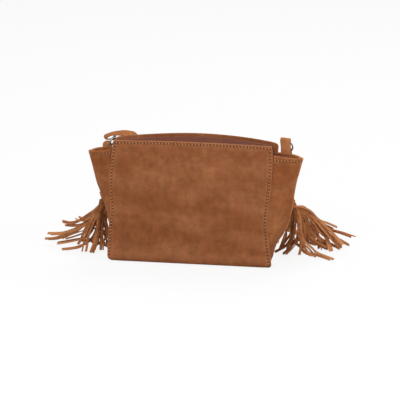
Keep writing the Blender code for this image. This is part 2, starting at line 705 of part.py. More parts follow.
def smooth_route(points, bends):
    """A curve through hand-chosen points, with its width direction and width."""
    found = []
    for i in range(len(points) - 1):
        rows = [points[max(i - 1, 0)], points[i], points[i + 1], points[min(i + 2, len(points) - 1)]]
        for step in range(bends):
            t = step / bends
            found.append(tuple(catmull([r[k] for r in rows], t) for k in range(3)))
    found.append(points[-1])
    return found


def catmull(values, t):
    a, b, c, d = values
    return 0.5 * (2 * b + (c - a) * t + (2 * a - 5 * b + 4 * c - d) * t**2 + (3 * b - a - 3 * c + d) * t**3)


def strap(material):
    """One flat suede strap: both ends pass through a ring and fold back on themselves."""
    points = []
    parts = ((LEFT_RING[0], STRAP_LEFT_END), (Vector(), STRAP_FALL), (RIGHT_RING[0], STRAP_RIGHT_END))
    for start, rows in parts:
        points += [(start + Vector((x, y, z)) * MM, Vector(side), width) for x, y, z, side, width in rows]
    route = smooth_route(points, STRAP_BENDS)
    shape = bmesh.new()
    rings = []
    for i, (centre, side, width) in enumerate(route):
        run = (route[min(i + 1, len(route) - 1)][0] - route[max(i - 1, 0)][0]).normalized()
        side = (side - run * side.dot(run)).normalized()
        face = side.cross(run).normalized()
        across, through = side * width / 2, face * STRAP_THICK / 2
        places = (centre - across - through, centre + across - through, centre + across + through,
                  centre - across + through)
        rings.append([shape.verts.new(p) for p in places])
    for low, high in zip(rings, rings[1:]):
        for a in range(4):
            b = (a + 1) % 4
            shape.faces.new([low[a], low[b], high[b], high[a]])
    shape.faces.new(rings[0])
    shape.faces.new(rings[-1])
    return make_object("strap", shape, material, smooth=50)


def snap(name, wall, place, material):
    """One half of the magnetic snap, on the lining's face below the rim."""
    height = BODY_HEIGHT - SNAP_DEPTH
    depth = LINING_DEPTH + LINING_THICK + SEAM_GAP
    here = wall_point(wall, place, height, depth, depth)
    level = (wall_point(wall, place + 0.02, height, depth, depth) - here).normalized()
    rise = (wall_point(wall, place, height + 0.004, depth, depth) - here).normalized()
    facing = rise.cross(level).normalized()
    shape = bmesh.new()
    bmesh.ops.create_cone(
        shape, cap_ends=True, segments=24, radius1=SNAP_RADIUS, radius2=SNAP_RADIUS, depth=SNAP_THICK
    )
    turned = Matrix((level, rise, -facing)).transposed().to_4x4()
    bmesh.ops.transform(shape, matrix=turned, verts=shape.verts)
    thing = make_object(name, shape, material)
    thing.location = here + facing * (SNAP_THICK / 2 + SEAM_GAP)
    return thing


def build():
    for old in list(bpy.data.objects):
        bpy.data.objects.remove(old)
    suede = make_material("suede", (0.27, 0.098, 0.037), 0.95)
    suede_wing = make_material("suede_wing", (0.26, 0.085, 0.028), 0.95)
    suede_fringe = make_material("suede_fringe", (0.37, 0.15, 0.062), 0.95)
    suede_strap = make_material("suede_strap", (0.42, 0.17, 0.07), 0.9)
    lining_cloth = make_material("lining_cloth", (0.12, 0.031, 0.016), 0.9)
    board = make_material("board", (0.25, 0.22, 0.18), 0.9)
    metal = make_material("metal", (0.62, 0.62, 0.62), 0.25, 1.0)

    panel("back_panel", BACK, suede)
    panel("front_panel", FRONT, suede)
    gusset("gusset_right", (RIGHT_NEAR, RIGHT_FAR), suede_wing)
    gusset("gusset_left", (LEFT_FAR, LEFT_NEAR), suede_wing)
    base_outline = sewn_outline(0, FOOT_EDGE + 2 * SEAM_GAP, BOTTOM_ROUND + SEAM_GAP)
    flat_plate("base_panel", base_outline, 0, BASE_THICK, suede)
    board_low = BASE_THICK + SEAM_GAP
    flat_plate("base_board", base_outline, board_low, board_low + BOARD_THICK, board)
    lining(lining_cloth)
    snap("snap_back", BACK, 0.5, metal)
    snap("snap_front", FRONT, 0.5, metal)
    tab("tab_left", LEFT_FAR, TAB_LEFT_PLACE, LEFT_RING, LEFT_HOLD, LEFT_TAB, suede_strap)
    tab("tab_right", RIGHT_FAR, TAB_RIGHT_PLACE, RIGHT_RING, RIGHT_HOLD, RIGHT_TAB, suede_strap)
    ring("ring_left", LEFT_RING, metal)
    ring("ring_right", RIGHT_RING, metal)
    strap(suede_strap)
    front_fringe(suede_fringe)
    side_fringe("fringe_right", RIGHT_FAR, RIGHT_TIPS, Vector((1, 0, 0)), suede_fringe)
    side_fringe("fringe_left", LEFT_FAR, LEFT_TIPS, Vector((-1, 0, 0)), suede_fringe)


build()
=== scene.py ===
"""The looks of a small fringed suede bag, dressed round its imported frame.

The plain back faces -Y and the camera, the fringed front faces +Y. Lengths are in metres.
"""
import math
import random

import bmesh
import bpy
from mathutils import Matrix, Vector, noise


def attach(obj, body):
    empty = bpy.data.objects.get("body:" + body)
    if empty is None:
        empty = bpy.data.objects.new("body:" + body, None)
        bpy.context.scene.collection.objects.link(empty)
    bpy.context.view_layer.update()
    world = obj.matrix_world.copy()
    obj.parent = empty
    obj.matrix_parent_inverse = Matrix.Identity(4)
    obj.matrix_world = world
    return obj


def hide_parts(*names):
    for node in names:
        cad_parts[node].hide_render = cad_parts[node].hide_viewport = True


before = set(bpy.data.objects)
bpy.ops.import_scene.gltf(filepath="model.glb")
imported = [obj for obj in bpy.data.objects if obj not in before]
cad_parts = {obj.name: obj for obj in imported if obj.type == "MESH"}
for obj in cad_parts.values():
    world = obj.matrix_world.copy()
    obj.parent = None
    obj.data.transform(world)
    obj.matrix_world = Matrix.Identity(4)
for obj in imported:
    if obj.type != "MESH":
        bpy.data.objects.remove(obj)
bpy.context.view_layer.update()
scene = bpy.context.scene
scene.view_settings.view_transform = "Standard"

# The view: the bag is seen from its plain back, a little from the right and from above, by a long lens, on
# a white floor. A big soft lamp hangs over the camera's left shoulder, and weaker ones light the right side
# and the top.
VIEW_TURN = math.radians(10)
VIEW_RISE = math.radians(14.5)
VIEW_AWAY = 3.5
VIEW_WIDTH = 0.608
VIEW_CENTRE = (0.0083, 0.0868)

view_right = Vector((math.cos(VIEW_TURN), math.sin(VIEW_TURN), 0))
view_back = Vector((math.sin(VIEW_TURN) * math.cos(VIEW_RISE), -math.cos(VIEW_TURN) * math.cos(VIEW_RISE),
                    math.sin(VIEW_RISE)))
view_up = view_back.cross(view_right)

camera = bpy.data.objects.new("camera", bpy.data.cameras.new("camera"))
scene.collection.objects.link(camera)
camera.location = view_right * VIEW_CENTRE[0] + view_up * VIEW_CENTRE[1] + view_back * VIEW_AWAY
camera.rotation_euler = (math.pi / 2 - VIEW_RISE, 0, VIEW_TURN)
camera.data.sensor_width = 36
camera.data.lens = 36 * VIEW_AWAY / VIEW_WIDTH
scene.camera = camera


def soft_lamp(name, place, aim, size, power):
    lamp = bpy.data.objects.new(name, bpy.data.lights.new(name, "AREA"))
    lamp.data.shape = "DISK"
    lamp.data.size = size
    lamp.data.energy = power
    lamp.location = place
    lamp.rotation_euler = (Vector(aim) - Vector(place)).to_track_quat("-Z", "Y").to_euler()
    scene.collection.objects.link(lamp)


soft_lamp("soft box", (-0.4, -2.2, 2.0), (0, 0, 0.08), 1.6, 46)
soft_lamp("side fill", (2.2, -1.0, 1.3), (0, 0, 0.08), 1.2, 17)
soft_lamp("top light", (0.4, 1.4, 2.2), (0, 0, 0.08), 1.4, 26)


def wire(tree, *links):
    for start, end in links:
        tree.links.new(start, end)


def math_node(tree, operation, value=None):
    node = tree.nodes.new("ShaderNodeMath")
    node.operation = operation
    if value is not None:
        node.inputs[1].default_value = value
    return node


def seen_mask(tree):
    """1 for what the camera sees straight, in a mirror or through glass, and 0 for light."""
    path = tree.nodes.new("ShaderNodeLightPath")
    first, both = math_node(tree, "MAXIMUM"), math_node(tree, "MAXIMUM")
    wire(tree, (path.outputs["Is Camera Ray"], first.inputs[0]),
         (path.outputs["Is Glossy Ray"], first.inputs[1]), (first.outputs[0], both.inputs[0]),
         (path.outputs["Is Transmission Ray"], both.inputs[1]))
    return both.outputs[0]


world = bpy.data.worlds.new("white room")
world.use_nodes = True
scene.world = world
tree = world.node_tree
room_light = tree.nodes["Background"]
room_light.inputs["Color"].default_value = (1, 1, 1, 1)
room_light.inputs["Strength"].default_value = 0.5
white_wall = tree.nodes.new("ShaderNodeBackground")
white_wall.inputs["Color"].default_value = (1, 1, 1, 1)
mix = tree.nodes.new("ShaderNodeMixShader")
wire(tree, (seen_mask(tree), mix.inputs[0]), (room_light.outputs[0], mix.inputs[1]),
     (white_wall.outputs[0], mix.inputs[2]), (mix.outputs[0], tree.nodes["World Output"].inputs["Surface"]))

# The floor: white paper just below the bag. It shows nearly white itself and keeps the bag's shadow.
FLOOR_REACH = 8
FLOOR_DROP = 0.0004
PAPER_GLOW = 0.86
floor_sides = ((-1, -1), (1, -1), (1, 1), (-1, 1))
floor_corners = [(x * FLOOR_REACH, y * FLOOR_REACH, -FLOOR_DROP) for x, y in floor_sides]
floor_mesh = bpy.data.meshes.new("floor")
floor_mesh.from_pydata(floor_corners, [], [(0, 1, 2, 3)])
floor = bpy.data.objects.new("floor", floor_mesh)
scene.collection.objects.link(floor)


def new_material(name):
    """A material, its node tree and its shader."""
    material = bpy.data.materials.new(name)
    material.use_nodes = True
    return material, material.node_tree, material.node_tree.nodes["Principled BSDF"]


paper, tree, shader = new_material("white paper")
shader.inputs["Base Color"].default_value = (0.8, 0.8, 0.8, 1)
shader.inputs["Roughness"].default_value = 0.9
glow = tree.nodes.new("ShaderNodeEmission")
share = math_node(tree, "MULTIPLY", PAPER_GLOW)
mix = tree.nodes.new("ShaderNodeMixShader")
wire(tree, (seen_mask(tree), share.inputs[0]), (share.outputs[0], mix.inputs[0]),
     (shader.outputs[0], mix.inputs[1]), (glow.outputs[0], mix.inputs[2]),
     (mix.outputs[0], tree.nodes["Material Output"].inputs["Surface"]))
floor_mesh.materials.append(paper)

# The strap: one flat band of tan suede, 16 mm wide and narrower at its ends, each drawn through a ring and
# folded back. It falls over the fringe and lies in one wide loop on the floor in front of the bag.
MM = 0.001
STRAP_WIDTH = 0.016
STRAP_NECK = 0.0098
STRAP_THICK = 0.0020
ALONG_Y, ALONG_X, BY_RING, TIPPED = (0, 1, 0), (1, 0, 0), (-0.94, 0.34, 0), (0, 1, 0.36)
# Each row: a place in millimetres, an end's from its ring, the way the band's width points, and its width
STRAP_LEFT_END = [
    (29.0, 11.7, 3.6, ALONG_Y, STRAP_NECK), (24.5, 9.2, 4.8, ALONG_Y, STRAP_NECK),
    (18.5, 6.6, 5.4, ALONG_Y, STRAP_NECK), (12.0, 3.4, 5.2, ALONG_Y, STRAP_NECK),
    (6.0, 0.3, 4.3, ALONG_Y, STRAP_NECK), (0.0, -0.2, 4.0, ALONG_Y, STRAP_NECK),
    (-5.5, -0.5, 3.7, (0, 1, -0.25), STRAP_NECK), (-9.3, -0.5, 4.8, (-0.45, 0.85, -0.3), STRAP_NECK),
    (-9.9, -0.5, 7.4, (-0.6, 0.8, 0.1), STRAP_NECK), (-6.8, -0.5, 9.3, (-0.2, 0.95, 0.4), STRAP_NECK),
    (-1.5, -0.2, 11.7, TIPPED, STRAP_NECK), (5.0, 1.0, 12.8, TIPPED, 0.0108),
    (12.0, 3.6, 12.8, TIPPED, 0.0125), (19.0, 7.2, 12.0, (0.05, 1, 0.35), 0.0145),
    (25.5, 11.0, 10.4, (0.1, 1, 0.2), STRAP_WIDTH), (30.8, 15.2, 6.8, (0.2, 1, 0.1), STRAP_WIDTH),
]
STRAP_FALL = [
    (-93.4, 26.6, 171.0, (0.45, 1, 0.1), STRAP_WIDTH), (-91.2, 31.2, 161.0, (0.8, 1, 0.1), STRAP_WIDTH),
    (-90.0, 36.2, 148.5, (1, 0.6, 0), STRAP_WIDTH),
    (-89.0, 41.5, 132.0, (1, 0.2, 0), STRAP_WIDTH), (-88.5, 47.5, 108.0, ALONG_X, STRAP_WIDTH),
    (-89.0, 55.0, 84.0, ALONG_X, STRAP_WIDTH), (-90.5, 65.0, 60.0, ALONG_X, STRAP_WIDTH),
    (-92.5, 79.0, 37.0, ALONG_X, STRAP_WIDTH), (-94.0, 98.0, 17.0, ALONG_X, STRAP_WIDTH),
    (-94.0, 119.0, 5.0, ALONG_X, STRAP_WIDTH), (-92.0, 142.0, 1.4, ALONG_X, STRAP_WIDTH),
    (-84.0, 168.0, 1.4, (0.9, -0.3, 0), STRAP_WIDTH), (-65.0, 193.0, 1.4, (0.6, -0.7, 0), STRAP_WIDTH),
    (-35.0, 209.0, 1.4, (0.3, -1, 0), STRAP_WIDTH), (0.0, 215.0, 1.4, (0.1, -1, 0), STRAP_WIDTH),
    (38.0, 213.0, 1.4, (-0.1, -1, 0), STRAP_WIDTH), (76.0, 203.0, 1.4, (-0.3, -1, 0), STRAP_WIDTH),
    (110.0, 185.0, 1.4, (-0.6, -1, 0), STRAP_WIDTH), (138.0, 160.0, 1.4, (-0.8, -0.7, 0), STRAP_WIDTH),
    (156.0, 133.0, 1.6, (-1, -0.4, 0), STRAP_WIDTH), (164.0, 108.0, 5.0, (-1, -0.1, 0), STRAP_WIDTH),
    (164.0, 90.0, 17.0, (-1, 0, 0), STRAP_WIDTH), (158.0, 74.0, 36.0, (-1, 0, 0), STRAP_WIDTH),
    (147.0, 64.0, 58.0, (-1, 0.1, 0), STRAP_WIDTH), (137.5, 52.5, 82.0, (-1, 0.1, 0), STRAP_WIDTH),
    (136.0, 39.0, 106.0, (-1, 0.1, 0), STRAP_WIDTH), (137.5, 26.8, 129.0, (-1, 0.1, 0), STRAP_WIDTH),
    (139.5, 19.6, 146.0, (-1, 0.2, 0), STRAP_WIDTH),
]
STRAP_RIGHT_END = [
    (2.5, 7.0, -19.0, BY_RING, 0.0130), (2.3, 6.4, -12.0, BY_RING, STRAP_NECK),
    (2.2, 6.0, -7.5, BY_RING, STRAP_NECK), (1.4, 3.9, -4.2, BY_RING, STRAP_NECK),
    (0.3, 0.9, -4.6, BY_RING, STRAP_NECK), (-0.2, -0.6, -8.0, BY_RING, STRAP_NECK),
    (-0.1, -0.4, -12.5, BY_RING, STRAP_NECK), (0.5, 1.5, -20.0, BY_RING, STRAP_NECK),
    (1.4, 3.8, -27.5, BY_RING, STRAP_NECK),
]
LEFT_RING = Vector((-0.1276254, 0.0065002, 0.1736))
RIGHT_RING = Vector((0.1387228, 0.0092329, 0.1772))
STRAP_FINE = 5


def catmull(values, t):
    a, b, c, d = values
    return 0.5 * (2 * b + (c - a) * t + (2 * a - 5 * b + 4 * c - d) * t**2 + (3 * b - a - 3 * c + d) * t**3)


def smooth_route(points, bends):
    """A curve through given points, each a tuple of values."""
    found = []
    for i in range(len(points) - 1):
        rows = [points[max(i - 1, 0)], points[i], points[i + 1], points[min(i + 2, len(points) - 1)]]
        for step in range(bends):
            found.append(tuple(catmull([r[k] for r in rows], step / bends) for k in range(len(points[0]))))
    found.append(tuple(points[-1]))
    return found


def finish_piece(name, shape, material, smooth=50):
    """A mesh object of a bmesh, its faces turned outwards."""
    bmesh.ops.recalc_face_normals(shape, faces=shape.faces)
    mesh = bpy.data.meshes.new(name)
    shape.to_mesh(mesh)
    shape.free()
    mesh.shade_smooth()
    mesh.set_sharp_from_angle(angle=math.radians(smooth))
    mesh.materials.append(material)
    thing = bpy.data.objects.new(name, mesh)
    scene.collection.objects.link(thing)
    return thing


# A flat band's outline, as shares of its half width and half thickness: its cut edges are slightly rounded.
# A band that lies on the floor is pressed flat against it.
BAND = [(-0.6, -1), (0.6, -1), (0.93, -0.9), (1, -0.4), (1, 0.4), (0.93, 0.9), (0.6, 1), (-0.6, 1),
        (-0.93, 0.9), (-1, 0.4), (-1, -0.4), (-0.93, -0.9)]
FLOOR_CLEAR = 0.0002


def skin_rings(shape, rings, capped=True):
    """Faces from ring to ring of points, and over the two ends."""
    for low, high in zip(rings, rings[1:]):
        for a in range(len(low)):
            b = (a + 1) % len(low)
            shape.faces.new([low[a], low[b], high[b], high[a]])
    if capped:
        shape.faces.new(rings[0])
        shape.faces.new(rings[-1])


def add_band(shape, route, sides, widths, thick, outline=BAND, layers=None, marks=None):
    """Adds a flat band of leather along a route to a bmesh, and marks its points in the given layers."""
    rings = []
    for i, centre in enumerate(route):
        run = (route[min(i + 1, len(route) - 1)] - route[max(i - 1, 0)]).normalized()
        side = (sides[i] - run * sides[i].dot(run)).normalized()
        face = side.cross(run).normalized()
        ring = []
        for a, b in outline:
            place = centre + side * a * widths[i] / 2 + face * b * thick / 2
            place.z = max(place.z, FLOOR_CLEAR)
            point = shape.verts.new(place)
            for layer, values in zip(layers or (), marks or ()):
                point[layer] = values[i]
            ring.append(point)
        rings.append(ring)
    skin_rings(shape, rings)


def colour_mix(tree, first=None, second=None, blend="MIX"):
    """A blend of two colours: its share is input 0, and the colours are inputs 6 and 7."""
    node = tree.nodes.new("ShaderNodeMix")
    node.data_type = "RGBA"
    node.blend_type = blend
    for socket, colour in ((6, first), (7, second)):
        if colour:
            node.inputs[socket].default_value = (*colour, 1)
    return node


def nap_group():
    """Suede's brushed nap: soft colour patches, fine streaks, rubbing and painted highlights, the nap's
    relief.
    """
    group = bpy.data.node_groups.new("suede nap", "ShaderNodeTree")
    for name, kind, value in (("Colour", "NodeSocketColor", (0.3, 0.1, 0.04, 1)),
                              ("Dark", "NodeSocketColor", (0.2, 0.06, 0.03, 1)),
                              ("Pale", "NodeSocketColor", (0.4, 0.16, 0.07, 1)),
                              ("Patch size", "NodeSocketFloat", 0.03),
                              ("Nap size", "NodeSocketFloat", 0.0007),
                              ("Relief", "NodeSocketFloat", 0.0004)):
        group.interface.new_socket(name, in_out="INPUT", socket_type=kind).default_value = value
    group.interface.new_socket("Colour", in_out="OUTPUT", socket_type="NodeSocketColor")
    group.interface.new_socket("Normal", in_out="OUTPUT", socket_type="NodeSocketVector")
    nodes = group.nodes
    given = nodes.new("NodeGroupInput")
    made = nodes.new("NodeGroupOutput")
    place = nodes.new("ShaderNodeTexCoord")

    def noise_of(size_socket, size_share, detail, shift, stretch=(1, 1, 1)):
        moved = nodes.new("ShaderNodeMapping")
        moved.inputs["Location"].default_value = shift
        moved.inputs["Scale"].default_value = stretch
        scale = math_node(group, "DIVIDE")
        scale.inputs[0].default_value = size_share
        texture = nodes.new("ShaderNodeTexNoise")
        texture.inputs["Detail"].default_value = detail
        texture.inputs["Roughness"].default_value = 0.6
        wire(group, (size_socket, scale.inputs[1]), (scale.outputs[0], texture.inputs["Scale"]),
             (place.outputs["Object"], moved.inputs["Vector"]), (moved.outputs[0], texture.inputs["Vector"]))
        return texture.outputs["Fac"]

    def spread_to(value, low, high, to_low=0.0, to_high=1.0):
        ramp = nodes.new("ShaderNodeMapRange")
        ramp.inputs["From Min"].default_value = low
        ramp.inputs["From Max"].default_value = high
        ramp.inputs["To Min"].default_value = to_low
        ramp.inputs["To Max"].default_value = to_high
        wire(group, (value, ramp.inputs["Value"]))
        return ramp.outputs[0]

    def mixed(share, first, second):
        blend = colour_mix(group)
        wire(group, (share, blend.inputs[0]), (first, blend.inputs[6]), (second, blend.inputs[7]))
        return blend.outputs[2]

    def attribute(name):
        read = nodes.new("ShaderNodeAttribute")
        read.attribute_name = name
        return read.outputs["Fac"]

    patches = noise_of(given.outputs["Patch size"], 1.0, 4, (0, 0, 0))
    blots = noise_of(given.outputs["Patch size"], 3.2, 3, (0.31, 0.17, 0.23))
    rubbed = noise_of(given.outputs["Patch size"], 1.3, 3, (0.71, 0.47, 0.13), (0.6, 1, 1.5))
    brushed = noise_of(given.outputs["Patch size"], 6.5, 3, (0.53, 0.29, 0.41), (1, 1, 0.7))
    nap = noise_of(given.outputs["Nap size"], 1.0, 3, (0, 0, 0), (1, 1, 0.45))
    colour = mixed(spread_to(patches, 0.28, 0.60), given.outputs["Dark"], given.outputs["Colour"])
    colour = mixed(spread_to(blots, 0.55, 0.25, 0, 0.5), given.outputs["Dark"], colour)
    colour = mixed(spread_to(rubbed, 0.40, 0.85, 0, 0.55), colour, given.outputs["Pale"])
    # Paler where rubbed and under the painted highlights marked at the points
    colour = mixed(attribute("wear_and_highlight"), colour, given.outputs["Pale"])
    shaded = colour_mix(group, blend="MULTIPLY")
    shaded.inputs[0].default_value = 1.0
    tone, grain = math_node(group, "ADD"), math_node(group, "MULTIPLY")
    # Darker by painted shade in seams and at strip roots, paler by painted light inside, and each strip's
    # tone
    wire(group, (spread_to(nap, 0.3, 0.7, 0.84, 1.16), grain.inputs[0]),
         (spread_to(brushed, 0.32, 0.68, 0.86, 1.13), grain.inputs[1]),
         (attribute("shade"), tone.inputs[0]), (grain.outputs[0], tone.inputs[1]))
    wire(group, (colour, shaded.inputs[6]), (tone.outputs[0], shaded.inputs[7]))
    bump = nodes.new("ShaderNodeBump")
    bump.inputs["Strength"].default_value = 0.6
    wire(group, (given.outputs["Relief"], bump.inputs["Distance"]), (nap, bump.inputs["Height"]))
    wire(group, (shaded.outputs[2], made.inputs["Colour"]), (bump.outputs[0], made.inputs["Normal"]))
    return group


SUEDE_NAP = nap_group()


def suede(name, colour, dark, pale, patch, nap=0.0008, relief=0.0004, sheen=0.25):
    material, tree, shader = new_material(name)
    shader.inputs["Roughness"].default_value = 0.95
    shader.inputs["Specular IOR Level"].default_value = 0.12
    shader.inputs["Sheen Weight"].default_value = sheen
    shader.inputs["Sheen Roughness"].default_value = 0.55
    shader.inputs["Sheen Tint"].default_value = (*pale, 1)
    nap_node = tree.nodes.new("ShaderNodeGroup")
    nap_node.node_tree = SUEDE_NAP
    for key, value in (("Colour", colour), ("Dark", dark), ("Pale", pale)):
        nap_node.inputs[key].default_value = (*value, 1)
    nap_node.inputs["Patch size"].default_value = patch
    nap_node.inputs["Nap size"].default_value = nap
    nap_node.inputs["Relief"].default_value = relief
    wire(tree, (nap_node.outputs["Colour"], shader.inputs["Base Color"]),
         (nap_node.outputs["Normal"], shader.inputs["Normal"]))
    return material


STRAP_SUEDE = suede("strap suede", (0.40, 0.152, 0.056), (0.31, 0.110, 0.038), (0.52, 0.225, 0.095), 0.035)

places = []
for start, rows in ((LEFT_RING, STRAP_LEFT_END), (Vector(), STRAP_FALL), (RIGHT_RING, STRAP_RIGHT_END)):
    places += [(*(start + Vector((x, y, z)) * MM), *side, width) for x, y, z, side, width in rows]
fine = smooth_route(places, STRAP_FINE)
strap_line = [Vector(p[:3]) for p in fine]
shape = bmesh.new()
add_band(shape, strap_line, [Vector(p[3:6]) for p in fine], [p[6] for p in fine], STRAP_THICK)
strap = finish_piece("shoulder_strap", shape, STRAP_SUEDE)
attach(strap, "bag")
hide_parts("strap")

# The back panel: plain reddish brown suede, its foot turned under and its other edges turned in and
# topstitched 3.3 mm from the edge. The bag's own sizes stand here, and the other leather pieces use them too.
BODY_HEIGHT = 0.184
TOP_WIDTH = 0.2393
BASE_WIDTH = 0.2510
FRONT_TOP_WIDTH = 0.2480
FRONT_BASE_WIDTH = 0.222
BASE_DEPTH = 0.090
BACK_LEAN = 0.015
MOUTH_END_DEPTH = 0.030
FRONT_BOW = 0.028
BACK_BELLY = 0.002
RIM_ARCH = 0.0018
TOP_SHIFT = 0.002
FRONT_TOP_SHIFT = 0.004
BOTTOM_ROUND = 0.008
PANEL_THICK = 0.0018
SEAM_GAP = 0.0003
SEAM_LAP = 0.003
TURN_UNDER = 0.0015
WING_RIGHT = 0.0404
WING_LEFT = 0.0388
WING_BACK_RIGHT = 0.006
WING_BULGE = 0.0025
# By share of the height: how far the back seams sway outwards, in millimetres, and how far the wings' folds
# stand out, as a share of their reach. The front rim droops by millimetres at a share of its length.
SWAY_RIGHT = [(0, 0), (0.16, -4.0), (0.38, -7.2), (0.65, -1.8), (0.87, 1.1), (1, 0)]
SWAY_LEFT = [(0, 0), (0.08, 1.2), (0.3, 0.9), (0.44, -0.4), (0.6, 3.5), (0.76, 4.0), (0.9, 2.2), (1, 0)]
FOLD_RIGHT = [(0, 0), (0.15, 0.21), (0.24, 0.48), (0.34, 0.69), (0.45, 0.78), (0.6, 0.8), (0.69, 0.84),
              (0.78, 0.92), (0.88, 1.0), (1, 1.06)]
FOLD_LEFT = [(0, 0), (0.15, 0.1), (0.29, 0.3), (0.35, 0.39), (0.44, 0.51), (0.55, 0.63), (0.61, 0.715),
             (0.77, 0.88), (0.87, 1.0), (1, 1.06)]
FRONT_RIM = [(0, 5.5), (0.006, 3.0), (0.016, 1.7), (0.035, 0.9), (0.09, 0.2), (0.2, -0.6),
             (0.5, -1.5), (0.8, -0.4), (0.975, 0.4), (0.992, 1.2), (1, 3.4)]
# The outline's six walls, numbered round the bag
BACK, RIGHT_NEAR, RIGHT_FAR, FRONT, LEFT_FAR, LEFT_NEAR = range(6)
SEAM_IN = 0.0033
SEAM_WIDE = 0.0010
SEAM_DEEP = 0.0006
EDGE_ROUND = 0.0005
# Each panel's own seed for its soft unevenness
PANEL_SEEDS = {BACK: 1, FRONT: 5}


def along(points, place):
    """A smooth value at a place on a given list of (place, value)."""
    if place <= points[0][0]:
        return points[0][1]
    for i in range(len(points) - 1):
        (x0, y0), (x1, y1) = points[i], points[i + 1]
        if place <= x1:
            before = points[i - 1] if i else points[i]
            after = points[i + 2] if i + 2 < len(points) else points[i + 1]
            step = x1 - x0
            slope0 = (y1 - before[1]) / (x1 - before[0]) * step
            slope1 = (after[1] - y0) / (after[0] - x0) * step
            t = (place - x0) / step
            return ((2 * t**3 - 3 * t**2 + 1) * y0 + (t**3 - 2 * t**2 + t) * slope0
                    + (3 * t**2 - 2 * t**3) * y1 + (t**3 - t**2) * slope1)
    return points[-1][1]


def corners(share):
    """The bag's outline seen from above at a share of its height, from the back left corner round."""
    shift = TOP_SHIFT * share
    half = (BASE_WIDTH + (TOP_WIDTH - BASE_WIDTH) * share) / 2
    front_shift = FRONT_TOP_SHIFT * share
    front_half = (FRONT_BASE_WIDTH + (FRONT_TOP_WIDTH - FRONT_BASE_WIDTH) * share) / 2
    back = -BASE_DEPTH / 2 + BACK_LEAN * share
    front = BASE_DEPTH / 2 * (1 - share) + (MOUTH_END_DEPTH + BACK_LEAN - BASE_DEPTH / 2) * share
    right = Vector((shift + half + along(SWAY_RIGHT, share) * MM, back))
    left = Vector((shift - half - along(SWAY_LEFT, share) * MM, back))
    far_right = Vector((front_shift + front_half, front))
    far_left = Vector((front_shift - front_half, front))
    fold_right = (right + far_right) / 2
    fold_right += Vector((WING_RIGHT * along(FOLD_RIGHT, share), WING_BACK_RIGHT * share))
    fold_left = (left + far_left) / 2 - Vector((WING_LEFT * along(FOLD_LEFT, share), 0))
    return [left, right, fold_right, far_right, far_left, fold_left]


def set_in(outline, panel_depth, wing_depth):
    """The outline with each side moved inwards by its depth and met at its corners."""
    lines = []
    for wall, (start, end) in enumerate(zip(outline, outline[1:] + outline[:1])):
        run = (end - start).normalized()
        depth = panel_depth if wall in (BACK, FRONT) else wing_depth
        lines.append((start + Vector((-run.y, run.x)) * depth, run))
    moved = []
    for (p, run), (q, after) in zip(lines[-1:] + lines[:-1], lines):
        turn = run.x * after.y - run.y * after.x
        gap = q - p
        moved.append(q if abs(turn) < 1e-6 else p + run * (gap.x * after.y - gap.y * after.x) / turn)
    return moved


def sewn_outline(share, panel_depth, wing_depth):
    """The outline of what is sewn behind the two panels."""
    left, right, fold_right, far_right, far_left, fold_left = corners(share)
    lap = Vector((SEAM_LAP, 0))
    behind = [left + lap, right - lap, fold_right, far_right, far_left, fold_left]
    moved = set_in(behind, panel_depth, wing_depth)
    inboard = SEAM_LAP + wing_depth
    moved[FRONT] = far_right + Vector((-inboard, -panel_depth))
    moved[LEFT_FAR] = far_left + Vector((inboard, -panel_depth))
    return moved


def foot_inset(height, depth):
    """How far the rounded foot draws in the surface that lies at a depth in the wall."""
    if height >= BOTTOM_ROUND:
        return depth
    radius = BOTTOM_ROUND - depth
    rise = min(BOTTOM_ROUND - height, radius)
    return BOTTOM_ROUND - math.sqrt(radius**2 - rise**2)


FOOT_EDGE = BOTTOM_ROUND + TURN_UNDER + SEAM_GAP
FOOT_HEIGHTS = [BOTTOM_ROUND * (1 - math.cos(math.radians(a))) for a in range(0, 91, 15)]


def wall_point(wall, place, height, inset, depth=None):
    """A point of a wall: place runs 0 to 1 along it, round the bag from the back panel's left edge. A depth
    is given for what is sewn behind the panels."""
    share = height / BODY_HEIGHT
    bow = FRONT_BOW * share
    if depth is None:
        outline = set_in(corners(share), inset, inset)
    else:
        deep = depth + PANEL_THICK + SEAM_GAP
        behind = FOOT_EDGE if height < deep else foot_inset(height, deep)
        outline = sewn_outline(share, behind, inset)
        bow += corners(share)[FRONT].y - behind - outline[FRONT].y
    start, end = outline[wall], outline[(wall + 1) % 6]
    point = start.lerp(end, place)
    hump = 4 * place * (1 - place)
    if wall == BACK:
        point.y -= BACK_BELLY * hump * math.sin(math.pi * min(share, 1))
    elif wall == FRONT:
        point.y += bow * hump
    else:
        run = (end - start).normalized()
        point += Vector((run.y, -run.x)) * WING_BULGE * hump**2 * math.sin(math.pi * min(share, 1))
    return Vector((point.x, point.y, height))


def panel_top(wall, place):
    """The height of a panel's rim at a place along it."""
    droop = along(FRONT_RIM, place) * MM if wall == FRONT else 0
    return BODY_HEIGHT + RIM_ARCH * 4 * place * (1 - place) - droop


def wander(point, size, seed):
    """A soft unevenness between -1 and 1, the same each time."""
    return noise.noise(point / size + Vector((seed * 7.3, seed * 3.1, seed * 1.7)))


def ease(value):
    value = min(max(value, 0), 1)
    return value * value * (3 - 2 * value)


# Distances from a sewn edge at which its rounding and its seam need a row of points
EDGE_STEPS = [0, 0.0004, 0.0009, 0.0016, 0.0023, 0.0029, 0.0033, 0.0037, 0.0043, 0.0052, 0.0066, 0.0088]


def stations(length, count, near_start=True, near_end=True):
    """Distances along a length: close together by each sewn edge, and even between."""
    start = EDGE_STEPS if near_start else [0]
    end = [length - d for d in reversed(EDGE_STEPS)] if near_end else [length]
    between = [start[-1] + (end[0] - start[-1]) * i / count for i in range(1, count)]
    return start + between + end


# The leather's inner side is paler: partly the flesh side's own colour, partly painted light for the lit
# mouth
INNER_TONE_AND_PAINTED_LIGHT = 0.35


